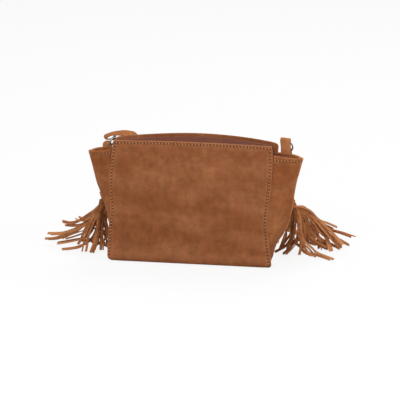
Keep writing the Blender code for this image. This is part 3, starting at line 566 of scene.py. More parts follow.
def leather_sheet(name, grid, material):
    """A closed leather sheet of rows of (outer point, inner point, rubbing and painted highlight, painted
    shade).
    """
    shape = bmesh.new()
    wear_and_highlight = shape.verts.layers.float.new("wear_and_highlight")
    tone = shape.verts.layers.float.new("shade")
    faces = []
    for side in (0, 1):
        made = [[shape.verts.new(spot[side]) for spot in row] for row in grid]
        for row, points in zip(grid, made):
            for (_, _, worn_and_lit, dark), point in zip(row, points):
                point[wear_and_highlight] = worn_and_lit
                point[tone] = INNER_TONE_AND_PAINTED_LIGHT if side else dark
        faces.append(made)
    rows, columns = len(grid), len(grid[0])
    for made in faces:
        for r in range(rows - 1):
            for c in range(columns - 1):
                shape.faces.new([made[r][c], made[r][c + 1], made[r + 1][c + 1], made[r + 1][c]])
    rim = [(0, c) for c in range(columns)] + [(r, columns - 1) for r in range(1, rows)]
    rim += [(rows - 1, c) for c in range(columns - 2, -1, -1)] + [(r, 0) for r in range(rows - 2, 0, -1)]
    for (r0, c0), (r1, c1) in zip(rim, rim[1:] + rim[:1]):
        shape.faces.new([faces[0][r0][c0], faces[0][r1][c1], faces[1][r1][c1], faces[1][r0][c0]])
    return finish_piece(name, shape, material)


def seam_relief(d):
    """How far a turned edge stands out, by the distance to it: rounded there, and drawn in by the thread."""
    return (0.0003 * ease((d - SEAM_IN) / 0.008) - SEAM_DEEP * math.exp(-((d - SEAM_IN) / SEAM_WIDE) ** 2)
            - 0.3 * PANEL_THICK * math.exp(-d / EDGE_ROUND))


def panel_relief(wall, place, height):
    """How far a panel stands out at a place, and how much rubbing, painted highlight and painted shade it has
    there.
    """
    edge = min(place, 1 - place) * TOP_WIDTH
    below = panel_top(wall, place) - height
    d = min(edge, below)
    point = wall_point(wall, place, height, 0)
    seed = PANEL_SEEDS[wall]
    loose = ease(d / 0.03) * ease(height / 0.03)
    soft = 0.0013 * wander(point, 0.048, seed) + 0.0006 * wander(point, 0.017, seed + 3)
    out = seam_relief(d) + loose * soft
    # Paler by rubbing and painted highlight at the edge, paler 6 mm in, and a painted highlight on the foot's
    # fold
    worn_and_lit = 0.7 * math.exp(-d / 0.0011) + 0.16 * math.exp(-((d - 0.0062) / 0.0022) ** 2)
    worn_and_lit += 0.22 * math.exp(-((height - 0.014) / 0.006) ** 2)
    # Painted shade in the groove that the topstitching draws in
    dark = -0.30 * math.exp(-((d - SEAM_IN) / 0.0014) ** 2)
    return out, min(max(worn_and_lit, 0), 1), dark


def leather_panel(name, wall, material):
    outward = -1 if wall == BACK else 1
    grid = []
    for place in [d / TOP_WIDTH for d in stations(TOP_WIDTH, 86)]:
        rise = stations(panel_top(wall, place) - BOTTOM_ROUND, 60, near_start=False)
        row = []
        for k, height in enumerate([0.0] + FOOT_HEIGHTS + [BOTTOM_ROUND + z for z in rise[1:]]):
            tuck = TURN_UNDER if k == 0 else 0
            out, worn_and_lit, dark = panel_relief(wall, place, height)
            point = wall_point(wall, place, height, foot_inset(height, 0) + tuck)
            point.y += outward * out
            low = max(height, PANEL_THICK)
            row.append((point, wall_point(wall, place, low, foot_inset(low, PANEL_THICK) + tuck), worn_and_lit, dark))
        grid.append(row)
    return leather_sheet(name, grid, material)


BROWN_SUEDE = suede("brown suede", (0.276, 0.099, 0.0375), (0.190, 0.060, 0.021), (0.385, 0.163, 0.075), 0.06)

back = leather_panel("back_panel_suede", BACK, BROWN_SUEDE)
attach(back, "bag")
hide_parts("back_panel")

# The front panel: the same suede, its rim bowed out, so that it shows behind the back panel.
front = leather_panel("front_panel_suede", FRONT, BROWN_SUEDE)
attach(front, "bag")
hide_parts("front_panel")

# The wings: one piece of suede a side, from the back seam over its fold to the front seam, turned in at
# its rim with a row of stitches, and creased along the fold.
GUSSET_THICK = 0.0015
GUSSET_DROP = 0.014
WING_RIM = [(-1, 0), (-0.75, 2.2), (-0.5, 4.0), (-0.15, 6.5), (0, 6.0), (0.3, 2.5), (1, 1)]
WING_HALF = 0.058
HEM_DEEP = 0.0064
HEM_SEAM = 0.0055
CREASE_STEPS = [0.012, 0.025, 0.045]
# Each wing's two walls, and its own seed for its soft unevenness
WINGS = {"right": ((RIGHT_NEAR, RIGHT_FAR), 11), "left": ((LEFT_FAR, LEFT_NEAR), 17)}


def wing_top(place):
    """The rim's height on a wing, from its back seam at -1 over the fold at 0 to its front seam at 1."""
    return BODY_HEIGHT - GUSSET_DROP - along(WING_RIM, place) * MM


def wing_point(walls, place, height, depth):
    """A point of a wing at a depth in its leather."""
    if walls[0] == RIGHT_NEAR:
        wall, part = (RIGHT_NEAR, place + 1) if place <= 0 else (RIGHT_FAR, place)
    else:
        wall, part = (LEFT_NEAR, -place) if place <= 0 else (LEFT_FAR, 1 - place)
    return wall_point(wall, part, height, foot_inset(height, depth), depth)


def wing_outward(walls, place, height):
    """The level direction in which a wing faces at a place."""
    beside = wing_point(walls, place + 0.02, height, 0) - wing_point(walls, place - 0.02, height, 0)
    outward = Vector((beside.y, -beside.x, 0)).normalized()
    return outward if walls[0] == RIGHT_NEAR else -outward


def wing_relief(walls, place, height, seed):
    """How far a wing stands out at a place, and how much rubbing, painted highlight and painted shade it has
    there.
    """
    below = wing_top(place) - height
    point = wing_point(walls, place, height, 0)
    band = 0.0005 * ease((HEM_DEEP - below) / 0.0012)
    hem = -0.0006 * math.exp(-((below - HEM_SEAM) / 0.0009) ** 2)
    edge = -0.3 * GUSSET_THICK * math.exp(-below / EDGE_ROUND)
    free = ease((1 - abs(place)) / 0.35) * ease(below / 0.02) * ease(height / 0.04) * ease(abs(place) / 0.25)
    folds = free * (0.0016 * wander(point, 0.030, seed) + 0.0006 * wander(point, 0.012, seed + 2))
    crease = math.exp(-(place / 0.035) ** 2)
    # Paler by rubbing and painted highlight at the rim, a painted highlight on the fold's crease, paler 9 mm
    # down
    worn_and_lit = 0.6 * math.exp(-below / 0.0012) + 0.7 * crease + 0.15 * math.exp(-((below - 0.009) / 0.002) ** 2)
    # Painted shade in the groove of the hem's stitches
    dark = -0.28 * math.exp(-((below - HEM_SEAM) / 0.001) ** 2)
    return band + hem + edge + folds + 0.0004 * crease, min(worn_and_lit, 1), dark


def wing(name, walls, seed, material):
    half = [abs(d) / WING_HALF for d in stations(WING_HALF, 24, near_start=False)]
    half = sorted(set(half + CREASE_STEPS))
    spots = [-p for p in reversed(half)] + half[1:]
    if walls[0] != RIGHT_NEAR:
        spots = spots[::-1]
    grid = []
    for place in spots:
        rise = stations(wing_top(place) - BOTTOM_ROUND, 60, near_start=False)
        row = []
        for height in FOOT_HEIGHTS + [BOTTOM_ROUND + z for z in rise[1:]]:
            out, worn_and_lit, dark = wing_relief(walls, place, height, seed)
            point = wing_point(walls, place, height, 0) + wing_outward(walls, place, height) * out
            row.append((point, wing_point(walls, place, max(height, GUSSET_THICK), GUSSET_THICK), worn_and_lit, dark))
        grid.append(row)
    return leather_sheet(name, grid, material)


WING_SUEDE = suede("wing suede", (0.282, 0.094, 0.031), (0.195, 0.059, 0.018), (0.42, 0.172, 0.071), 0.055)

for side, (walls, seed) in WINGS.items():
    side_wing = wing("wing_" + side, walls, seed, WING_SUEDE)
    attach(side_wing, "bag")
    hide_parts("gusset_" + side)

# The lining: a reddish brown cloth bag hung inside the leather, a little slack, sewn in below the rim.
LINING_DEPTH = GUSSET_THICK + 0.0004
LINING_THICK = 0.0008
LINING_FLOOR = 0.0046
LINING_DROP = 0.005
LINING_SLACK = 0.0009
LINING_ROWS = 33
LINING_STEPS = {BACK: 40, RIGHT_NEAR: 12, RIGHT_FAR: 12, FRONT: 40, LEFT_FAR: 12, LEFT_NEAR: 12}


def lining_bag(material):
    spots = [(wall, k / count) for wall, count in LINING_STEPS.items() for k in range(count)]

    def top(wall, part):
        if wall in (BACK, FRONT) and part:
            return panel_top(wall, part)
        place = {RIGHT_NEAR: part - 1, RIGHT_FAR: part, LEFT_FAR: 1 - part, LEFT_NEAR: -part}
        return wing_top(place.get(wall, -1 if wall == BACK else 1))

    shape = bmesh.new()
    skins = []
    for depth in (LINING_DEPTH, LINING_DEPTH + LINING_THICK):
        rings = []
        for k in range(-1, LINING_ROWS + 1):
            ring = []
            for wall, part in spots:
                height = LINING_FLOOR + depth - LINING_DEPTH
                if k >= 0:
                    drop = top(wall, part) - LINING_DROP - BOTTOM_ROUND
                    height = BOTTOM_ROUND + drop * k / LINING_ROWS
                inset = foot_inset(height, depth)
                point = wall_point(wall, part, height, inset, depth)
                if depth > LINING_DEPTH and k > 0:
                    slack = LINING_SLACK * (1 + wander(point, 0.03, 23)) * ease((LINING_ROWS - k) / 5)
                    point = wall_point(wall, part, height, inset + slack, depth + slack)
                ring.append(shape.verts.new(point))
            rings.append(ring)
        skins.append(rings)
    for rings in skins:
        shape.faces.new(rings[0])
        skin_rings(shape, rings, capped=False)
    skin_rings(shape, [skins[0][-1], skins[1][-1]], capped=False)
    return finish_piece("lining_cloth", shape, material)


def lining_material():
    material, tree, shader = new_material("lining twill")
    shader.inputs["Roughness"].default_value = 0.85
    shader.inputs["Sheen Weight"].default_value = 0.2
    place = tree.nodes.new("ShaderNodeTexCoord")
    turned = tree.nodes.new("ShaderNodeMapping")
    turned.inputs["Rotation"].default_value = (0, 0.6, 0.5)
    threads = tree.nodes.new("ShaderNodeTexWave")
    threads.inputs["Scale"].default_value = 420
    threads.inputs["Distortion"].default_value = 1.2
    cloudy = tree.nodes.new("ShaderNodeTexNoise")
    cloudy.inputs["Scale"].default_value = 60
    tint = colour_mix(tree, (0.20, 0.058, 0.032), (0.31, 0.105, 0.058))
    bump = tree.nodes.new("ShaderNodeBump")
    bump.inputs["Distance"].default_value = 0.0002
    wire(tree, (place.outputs["Object"], turned.inputs["Vector"]),
         (turned.outputs[0], threads.inputs["Vector"]),
         (place.outputs["Object"], cloudy.inputs["Vector"]), (cloudy.outputs["Fac"], tint.inputs[0]),
         (threads.outputs["Fac"], bump.inputs["Height"]), (tint.outputs[2], shader.inputs["Base Color"]),
         (bump.outputs[0], shader.inputs["Normal"]))
    return material


lining = lining_bag(lining_material())
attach(lining, "bag")
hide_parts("lining")

# The base: a flat piece of the same suede under a grey stiffening board, both hidden between the panels.
BOARD = suede("grey board", (0.25, 0.22, 0.18), (0.20, 0.175, 0.14), (0.30, 0.27, 0.22), 0.02, 0.0012,
              0.0002, sheen=0)


def coat(node, material):
    """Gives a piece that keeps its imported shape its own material."""
    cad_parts[node].data.materials.clear()
    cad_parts[node].data.materials.append(material)


coat("base_panel", BROWN_SUEDE)
coat("base_board", BOARD)

# The rings and the magnetic snap: polished nickel-coloured wire, bent round and soldered, and two pressed
# discs below the mouth's rim. A ring turns freely through its tab and the strap's loop.
RING_RADIUS = 0.0096
WIRE_RADIUS = 0.0012
# Each ring's middle, and the level and the rising direction in its plane
RING_PLACES = {
    "left": (LEFT_RING, Vector((0.1993679, 0.9799247, 0)), Vector((0.4295707, -0.0873972, 0.8987941))),
    "right": (RIGHT_RING, Vector((0.9396926, -0.3420202, 0)), Vector((-0.1169778, -0.3213938, 0.9396926))),
}


def nickel():
    material, tree, shader = new_material("polished nickel")
    shader.inputs["Metallic"].default_value = 1
    place = tree.nodes.new("ShaderNodeTexCoord")
    rub = tree.nodes.new("ShaderNodeTexNoise")
    rub.inputs["Scale"].default_value = 900
    rough = tree.nodes.new("ShaderNodeMapRange")
    rough.inputs["To Min"].default_value = 0.12
    rough.inputs["To Max"].default_value = 0.34
    tint = colour_mix(tree, (0.20, 0.19, 0.175), (0.32, 0.305, 0.285))
    wire(tree, (place.outputs["Object"], rub.inputs["Vector"]), (rub.outputs["Fac"], rough.inputs["Value"]),
         (rough.outputs[0], shader.inputs["Roughness"]), (rub.outputs["Fac"], tint.inputs[0]),
         (tint.outputs[2], shader.inputs["Base Color"]))
    return material


NICKEL = nickel()


def torus(centre, level, upright, radius, wire_radius, around=72, tube=16):
    normal = level.cross(upright).normalized()
    shape = bmesh.new()
    rows = []
    for i in range(around):
        turn = 2 * math.pi * i / around
        out = level * math.cos(turn) + upright * math.sin(turn)
        rows.append([shape.verts.new(centre + out * (radius + wire_radius * math.cos(2 * math.pi * j / tube))
                                     + normal * wire_radius * math.sin(2 * math.pi * j / tube))
                     for j in range(tube)])
    skin_rings(shape, rows + rows[:1], capped=False)
    return shape


for side, (centre, level, upright) in RING_PLACES.items():
    ring = finish_piece("wire_ring_" + side, torus(centre, level, upright, RING_RADIUS, WIRE_RADIUS), NICKEL)
    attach(ring, "ring_" + side)
    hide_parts("ring_" + side)
for name in ("snap_back", "snap_front"):
    coat(name, NICKEL)

# The tabs: short tan suede strips folded over the rings, their two ends sewn together and to the outside of
# the wings' far halves.
TAB_WIDTH = 0.015
TAB_THICK = 0.0040
TAB_HEAD = 0.0080
RING_CLEARANCE = 0.00035
SEWN_GAP = 0.0005
# How far below the body's height a tab leaves its wing, and where along the wing's far half it is sewn
TAB_FREE = 0.028
TAB_PLACES = {"left": (LEFT_FAR, 0.45), "right": (RIGHT_FAR, 0.66)}
TAB_HOLDS = {
    "left": LEFT_RING - RING_PLACES["left"][2] * RING_RADIUS + Vector((-3.6, -1.0, 0)) * MM,
    "right": RIGHT_RING + RING_PLACES["right"][2] * RING_RADIUS + Vector((-0.6, 0, 0)) * MM,
}
# The tabs, foot to fold: millimetres above the body's height, share of the way to the ring, width, thickness
LEFT_TAB = [(-38, 0, TAB_WIDTH, TAB_THICK), (-30, 0, TAB_WIDTH, TAB_THICK), (-26, 0.3, 0.013, 0.005),
            (-22.5, 0.85, 0.011, 0.0085), (-19.5, 1, 0.010, 0.0110), (-14.5, 1, 0.010, 0.0110),
            (-11.3, 1, 0.009, 0.0090), (-9.8, 1, 0.007, 0.0055)]
RIGHT_TAB = [(-38, 0, TAB_WIDTH, TAB_THICK), (-27, 0, TAB_WIDTH, TAB_THICK),
             (-16, 0, TAB_WIDTH, TAB_THICK), (-8.5, 0.1, TAB_WIDTH, TAB_THICK),
             (-2.0, 0.8, TAB_WIDTH, 0.0066),
             (1.8, 1, TAB_WIDTH, TAB_HEAD), (4.4, 1, TAB_WIDTH, 0.0066), (5.8, 1, TAB_WIDTH, 0.0036)]
# A folded strip seen end on: two layers with a crease between them
FOLDED = [(-0.9, -1), (-0.3, -1), (0.3, -1), (0.9, -1), (1, -0.8), (1, -0.2), (0.93, 0), (1, 0.2), (1, 0.8),
          (0.9, 1), (0.3, 1), (-0.3, 1), (-0.9, 1), (-1, 0.8), (-1, 0.2), (-0.93, 0), (-1, -0.2), (-1, -0.8)]
TAN_SUEDE = suede("tan suede", (0.46, 0.180, 0.065), (0.36, 0.130, 0.045), (0.58, 0.26, 0.11), 0.035)


def made_plain(name, source):
    """A plain mesh object of what an object's modifiers make, in place of that object."""
    mesh = bpy.data.meshes.new_from_object(source.evaluated_get(bpy.context.evaluated_depsgraph_get()))
    mesh.name = name
    thing = bpy.data.objects.new(name, mesh)
    scene.collection.objects.link(thing)
    bpy.data.objects.remove(source)
    return thing


def ring_tab(side, sections, material):
    """A tab sewn to its wing at its foot, drawn over to its ring, and cut open for the ring's wire."""
    name = "ring_tab_" + side
    wall, place = TAB_PLACES[side]
    centre, level, upright = RING_PLACES[side]
    shape = bmesh.new()
    rings = []
    for rise_mm, share, width, thick in smooth_route(sections, 4):
        share = min(max(share, 0), 1)
        height = BODY_HEIGHT + rise_mm * MM
        low = min(height, BODY_HEIGHT - TAB_FREE)
        face = wall_point(wall, place, low, -SEAM_GAP, -SEAM_GAP)
        run = (wall_point(wall, place - 0.05, low, -SEAM_GAP, -SEAM_GAP) - face).normalized()
        sewn = face + Vector((-run.y, run.x, 0)) * (TAB_THICK / 2 + SEWN_GAP)
        middle = sewn.lerp(TAB_HOLDS[side], share)
        middle.z = height
        across = run.lerp(level, share).normalized()
        through = Vector((-across.y, across.x, 0))
        ring = [middle + across * a * width / 2 + through * b * thick / 2 for a, b in FOLDED]
        rings.append([shape.verts.new(p) for p in ring])
    skin_rings(shape, rings)
    rough = finish_piece(name + "_uncut", shape, material)
    hole = torus(centre, level, upright, RING_RADIUS, WIRE_RADIUS + RING_CLEARANCE)
    cutter = finish_piece(name + "_cutter", hole, material)
    cut = rough.modifiers.new("ring hole", "BOOLEAN")
    cut.object = cutter
    cut.solver = "EXACT"
    thing = made_plain(name, rough)
    bpy.data.objects.remove(cutter)
    return thing


for side, sections in (("left", LEFT_TAB), ("right", RIGHT_TAB)):
    tab = ring_tab(side, sections, TAN_SUEDE)
    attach(tab, "bag")
    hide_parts("tab_" + side)

# The fringe: bands of the same hide sewn round the front and the wings' far halves 98 mm up, cut below the
# seam into strips 4 mm wide. The strips are limp but stiff enough to splay and curl over each other.
HEADER_TOP = 0.098
HEADER_HEIGHT = 0.012
HEADER_SEAM = 0.003
FRINGE_THICK = 0.0014
STRIP_WIDTH = 0.0042
STRIP_SPACE = 0.0008
STRIP_FINE = 5
# How far a strip's flat side strays from the way that all of them face, how soon it has rolled to it, and the
# height in millimetres at which the ends on the floor lie
STRIP_STRAY = 0.65
STRIP_ROLL = 2.2
TIP_MM = 2.0
# Each strip: millimetres from its root on the wing to its cut end
RIGHT_STRIPS = [
    [(149, -1, 87), (157, 2, 86), (164, 14, 83), (173, 26, 71), (182, 38, 55), (190, 52, 37),
     (197, 64, 17), (203, 63, 2)],
    [(144, 2, 87), (160, 6, 81), (171, 20, 69), (183, 38, 51), (202, 55, 39), (219, 68, 31), (236, 80, 22)],
    [(151, -3, 87), (162, 2, 86), (175, 16, 76), (185, 36, 58), (197, 48, 50), (210, 60, 41)],
    [(141, 5, 87), (161, 8, 78), (175, 26, 61), (189, 48, 34), (208, 72, 21), (224, 104, 2)],
    [(138, 7, 87), (160, 10, 74), (174, 28, 53), (187, 52, 24), (198, 74, 11), (213, 77, 2)],
    [(150, -3, 87), (158, 4, 83), (171, 18, 68), (182, 36, 43), (185, 52, 21), (185, 72, 2)],
    [(147, 0, 87), (154, 0, 86), (159, 8, 67), (160, 14, 46), (161, 22, 29), (155, 35, 2)],
    [(142, 4, 87), (158, 6, 81), (162, 16, 60), (166, 22, 42), (163, 30, 21), (168, 36, 7), (182, 28, 2)],
    [(135, 10, 87), (157, 10, 74), (159, 16, 51), (163, 22, 30), (175, 34, 14), (184, 40, 4), (210, 18, 2)],
    [(139, 6, 87), (155, 6, 81), (157, 14, 59), (155, 22, 38), (147, 32, 19), (131, 34, 2)],
    [(131, 12, 87), (150, 10, 77), (151, 20, 54), (146, 30, 29), (137, 36, 16), (117, 44, 2)],
    [(135, 10, 87), (165, 12, 77), (180, 30, 62), (178, 34, 52), (166, 40, 37), (152, 46, 21),
     (136, 87, 2)],
    [(127, 15, 87), (159, 18, 69), (173, 44, 43), (183, 76, 13), (195, 86, 2)],
    [(123, 19, 87), (153, 24, 59), (159, 44, 32), (164, 66, 15), (173, 94, 2)],
    [(119, 22, 87), (144, 26, 54), (144, 40, 27), (147, 60, 11), (155, 72, 2)],
    [(124, 18, 87), (141, 22, 69), (142, 28, 48), (142, 34, 28), (134, 60, 2)],
    [(130, 14, 87), (148, 18, 73), (139, 26, 50), (133, 32, 30), (122, 64, 2)],
    [(121, 20, 87), (146, 24, 65), (148, 36, 40), (139, 50, 19), (129, 80, 2)],
    [(142, 4, 87), (161, 8, 81), (168, 20, 64), (173, 34, 42), (186, 50, 21), (193, 85, 2)],
    [(145, 1, 87), (165, 12, 79), (179, 28, 61), (190, 42, 42), (203, 58, 21), (212, 83, 2)],
    [(133, 11, 87), (154, 12, 75), (161, 24, 53), (168, 36, 30), (181, 50, 15), (194, 73, 2)],
    [(148, -1, 87), (161, 8, 83), (176, 24, 68), (189, 40, 51), (205, 54, 30), (218, 60, 14)],
]
LEFT_STRIPS = [
    [(-140, -6, 87), (-142, -5, 81), (-151, 0, 70), (-158, 4, 58), (-167, 10, 43), (-176, 18, 27),
     (-182, 26, 14), (-189, 35, 2)],
    [(-138, -2, 87), (-145, 0, 74), (-156, 8, 60), (-168, 16, 45), (-185, 22, 33), (-200, 28, 25),
     (-215, 34, 19), (-239, 42, 15)],
    [(-133, 2, 87), (-146, 2, 70), (-160, 12, 56), (-177, 20, 39), (-195, 26, 24), (-210, 28, 17),
     (-226, 30, 11), (-241, 32, 9)],
    [(-139, -4, 87), (-145, 0, 75), (-157, 6, 65), (-171, 12, 54), (-185, 18, 44), (-198, 20, 40),
     (-211, 24, 41)],
    [(-130, 5, 87), (-146, 4, 68), (-160, 12, 54), (-175, 18, 41), (-189, 20, 35), (-207, 24, 34)],
    [(-142, -7, 87), (-145, -2, 77), (-156, 6, 64), (-164, 12, 53), (-174, 16, 47), (-184, 20, 50)],
    [(-128, 6, 87), (-146, 6, 66), (-155, 14, 48), (-165, 24, 27), (-179, 34, 12), (-200, 38, 5),
     (-222, 31, 2)],
    [(-124, 11, 87), (-147, 10, 60), (-154, 16, 39), (-161, 18, 21), (-172, 20, 9), (-188, 16, 2),
     (-207, 1, 2)],
    [(-135, 0, 87), (-145, 0, 74), (-151, 2, 60), (-160, 4, 41), (-167, 5, 21), (-168, 4, 10),
     (-168, -4, 2)],
    [(-132, 4, 87), (-144, 0, 72), (-149, 2, 54), (-152, 4, 35), (-156, 2, 16), (-160, -9, 2)],
    [(-128, 7, 87), (-143, 4, 68), (-145, 8, 47), (-145, 10, 26), (-144, 10, 15), (-144, 9, 2)],
    [(-123, 12, 87), (-142, 8, 64), (-149, 14, 42), (-153, 20, 21), (-160, 47, 2)],
    [(-119, 16, 87), (-141, 14, 56), (-142, 18, 35), (-142, 24, 14), (-144, 43, 2)],
    [(-126, 10, 87), (-145, 8, 62), (-149, 14, 42), (-143, 22, 18), (-153, 24, 9), (-164, 21, 2)],
    [(-116, 19, 87), (-144, 20, 50), (-156, 34, 25), (-170, 46, 9), (-187, 54, 2)],
    [(-120, 15, 87), (-145, 14, 54), (-160, 30, 31), (-179, 44, 19), (-200, 56, 8), (-215, 61, 2)],
    [(-132, 4, 87), (-144, 2, 70), (-149, 6, 55), (-150, 8, 37), (-155, 10, 19), (-156, 41, 2)],
    [(-117, 18, 87), (-143, 14, 56), (-149, 22, 35), (-158, 30, 17), (-171, 51, 2)],
    [(-134, 0, 87), (-145, 0, 72), (-154, 6, 58), (-162, 10, 42), (-169, 14, 27), (-177, 20, 14),
     (-191, 47, 2)],
    [(-127, 8, 87), (-143, 6, 64), (-143, 12, 46), (-148, 16, 27), (-145, 16, 12), (-139, 26, 2)],
]
STRIP = [(-0.82, -1), (0.82, -1), (1, 0), (0.82, 1), (-0.82, 1), (-1, 0)]


def header_point(wall, place, height, out):
    return wall_point(wall, place, height, -SEWN_GAP - out, None if wall == FRONT else -SEWN_GAP - out)


def add_header(shape, wall, layers):
    """The uncut band above the strips, with rounded edges."""
    outer, inner = [], []
    count = 60 if wall == FRONT else 16
    downs = (0, 0.0005, 0.0014, 0.0025, HEADER_SEAM, 0.0035, 0.0046, 0.008, HEADER_HEIGHT)
    heights = [HEADER_TOP - down for down in downs]
    for c in range(count + 1):
        place = c / count
        row = []
        for height in heights:
            down = HEADER_TOP - height
            groove = 0.0004 * math.exp(-((down - HEADER_SEAM) / 0.0007) ** 2)
            rounded = 0.0004 * math.exp(-down / EDGE_ROUND)
            point = header_point(wall, place, height, FRINGE_THICK - groove - rounded)
            row.append(shape.verts.new(point))
        outer.append(row)
        inner.append([shape.verts.new(header_point(wall, place, height, 0)) for height in heights])
    for grid in (outer, inner):
        for c in range(count):
            for r in range(len(grid[0]) - 1):
                shape.faces.new([grid[c][r], grid[c + 1][r], grid[c + 1][r + 1], grid[c][r + 1]])
    for c in range(count):
        shape.faces.new([outer[c][0], outer[c + 1][0], inner[c + 1][0], inner[c][0]])
        shape.faces.new([outer[c][-1], outer[c + 1][-1], inner[c + 1][-1], inner[c][-1]])
    for end in (0, -1):
        for r in range(len(outer[0]) - 1):
            shape.faces.new([outer[end][r], outer[end][r + 1], inner[end][r + 1], inner[end][r]])


def new_fringe():
    shape = bmesh.new()
    return shape, [shape.verts.layers.float.new("wear_and_highlight"), shape.verts.layers.float.new("shade")]


def add_strip(shape, layers, points, dice, first_side, facing, shadow):
    """One cut strip through given points: it rolls on its way until its flat side faces its own way. It
    has its own tone, darker near its root by the shadow, and rubbed paler at its cut end."""
    route = [Vector(p) for p in smooth_route(points, STRIP_FINE)]
    count = len(route)
    spin = Vector((dice.gauss(0, 1), dice.gauss(0, 1), dice.gauss(0, 1))) * STRIP_STRAY
    facing = (facing + spin).normalized()
    sides = []
    last = first_side
    for i in range(count):
        run = (route[min(i + 1, count - 1)] - route[max(i - 1, 0)]).normalized()
        rolled = facing.cross(run)
        if rolled.dot(last) < 0:
            rolled.negate()
        side = first_side.lerp(rolled.normalized(), min(1, STRIP_ROLL * i / count))
        last = (side - run * side.dot(run)).normalized()
        sides.append(last)
    width = STRIP_WIDTH * dice.uniform(0.9, 1.1)
    worn_and_lit, tone = dice.uniform(-0.3, 0.45), dice.uniform(-0.17, 0.17)
    wear_and_highlight = [max(0, worn_and_lit + 0.35 * max(0, 3 * i / count - 2)) for i in range(count)]
    shade = [tone - shadow * (1 - i / count) ** 1.5 for i in range(count)]
    add_band(shape, route, sides, [width] * count, FRINGE_THICK, STRIP, layers, (wear_and_highlight, shade))


def twin_of(points, dice):
    """A neighbour of a listed strip: it leaves beside it and strays from it further on."""
    shift = Vector((dice.uniform(-6, 6), dice.uniform(-3, 5), dice.uniform(-3, 3)))
    found = []
    for i, point in enumerate(points):
        t = i / (len(points) - 1)
        moved = Vector(point) + shift * (0.35 + 0.9 * t)
        low = TIP_MM if point[2] <= TIP_MM else max(moved.z, TIP_MM)
        found.append((moved.x, moved.y, low))
    return found


FRINGE_SUEDE = suede("fringe suede", (0.43, 0.165, 0.062), (0.30, 0.100, 0.034), (0.60, 0.28, 0.12), 0.018)
SIDE_FACING = Vector((0.1, -0.85, 0.5))
# Each side's wall and strips, the seed of its dice, and how dark its strips are at their roots
SIDE_FRINGES = {"right": (RIGHT_FAR, RIGHT_STRIPS, 7, 0), "left": (LEFT_FAR, LEFT_STRIPS, 9, 0.45)}

for side, (wall, strips, seed, shadow) in SIDE_FRINGES.items():
    shape, layers = new_fringe()
    add_header(shape, wall, layers)
    ends = [header_point(wall, p, HEADER_TOP - HEADER_HEIGHT, 0) for p in (0, 1)]
    first = (ends[0] - ends[1]).normalized()
    dice = random.Random(seed)
    twins = [twin_of(points, dice) for points in strips]
    for points in strips + twins:
        add_strip(shape, layers, [Vector(p) * MM for p in points], dice, first, SIDE_FACING, shadow)
    fringe = finish_piece("fringe_strips_" + side, shape, FRINGE_SUEDE)
    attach(fringe, "bag")
    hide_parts("fringe_" + side)

# The front fringe isn't seen: even strips that drop to the floor and run forwards over it, each resting
# a little higher than its neighbour so that they can lie over each other.
FRINGE_LENGTH = 0.130
FRONT_FACING = Vector((0, 0.6, 0.8))
FRONT_SHADOW = 0.18
FRONT_LEAN = 0.04
FRONT_STRAY = 0.004
FRONT_STAGGER = 0.002
FRONT_STAND = 0.011
FRONT_REACH = 0.012
SLACK_REACH = 0.050
FRONT_REST = 0.0013
REST_STEP = 0.0006


def bezier(points, t):
    a, b, c, d = points
    return a * (1 - t) ** 3 + b * 3 * t * (1 - t) ** 2 + c * 3 * t**2 * (1 - t) + d * t**3


def strip_route(shape_of):
    """Points along the curve whose slack makes it the fringe's length, found by halving."""
    low, high = 0.0, 1.6
    for _ in range(18):
        slack = (low + high) / 2
        line = [bezier(shape_of(slack), i / 40) for i in range(41)]
        if sum((b - a).length for a, b in zip(line, line[1:])) < FRINGE_LENGTH:
            low = slack
        else:
            high = slack
    return [bezier(shape_of(low), i / 9) for i in range(10)]


shape, layers = new_fringe()
add_header(shape, FRONT, layers)
dice = random.Random(4)
ends = [wall_point(FRONT, p, HEADER_TOP, 0) for p in (0, 1)]
pitch = STRIP_WIDTH + STRIP_SPACE
count = int(((ends[1] - ends[0]).length - 2 * SEAM_LAP) / pitch)
for k in range(count):
    middle = 0.5 + (k - (count - 1) / 2) * pitch / (ends[1] - ends[0]).length
    root = header_point(FRONT, middle, HEADER_TOP - HEADER_HEIGHT + 0.002, FRINGE_THICK / 2)
    stand = wall_point(FRONT, middle, 0, 0).y + FRONT_STAND + FRONT_STRAY * dice.random()
    lean = root.x * FRONT_LEAN + FRONT_STAGGER * (k % 2) + dice.uniform(-FRONT_STRAY, FRONT_STRAY)
    rest = FRONT_REST + REST_STEP * (k % 3)

    def shape_of(slack):
        reach = FRONT_REACH + SLACK_REACH * slack
        return (root, Vector((root.x, root.y + 0.010, root.z * 0.45)),
                Vector((root.x + lean * 0.5, stand - 0.001, rest)),
                Vector((root.x + lean, stand + reach, rest)))

    add_strip(shape, layers, strip_route(shape_of), dice, Vector((-1, 0, 0)), FRONT_FACING, FRONT_SHADOW)
fringe = finish_piece("fringe_strips_front", shape, FRINGE_SUEDE)
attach(fringe, "bag")
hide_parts("fringe_front")

# The thread: rows of waxed brown stitches, 5 mm apart, that hold the panels' turned edges, the wings' hems
# and the fringe's bands. Geometry Nodes set one stitch at each step along every row.
STITCH_PITCH = 0.0050
STITCH_LENGTH = 0.0032
THREAD_RADIUS = 0.00080
STITCH_SLANT = 0.7
STITCH_RISE = 0.0004
STITCH_SCALES = (0.86, 1.1)
HOLE_LENGTH = 0.0027
HOLE_RADIUS = 0.00095


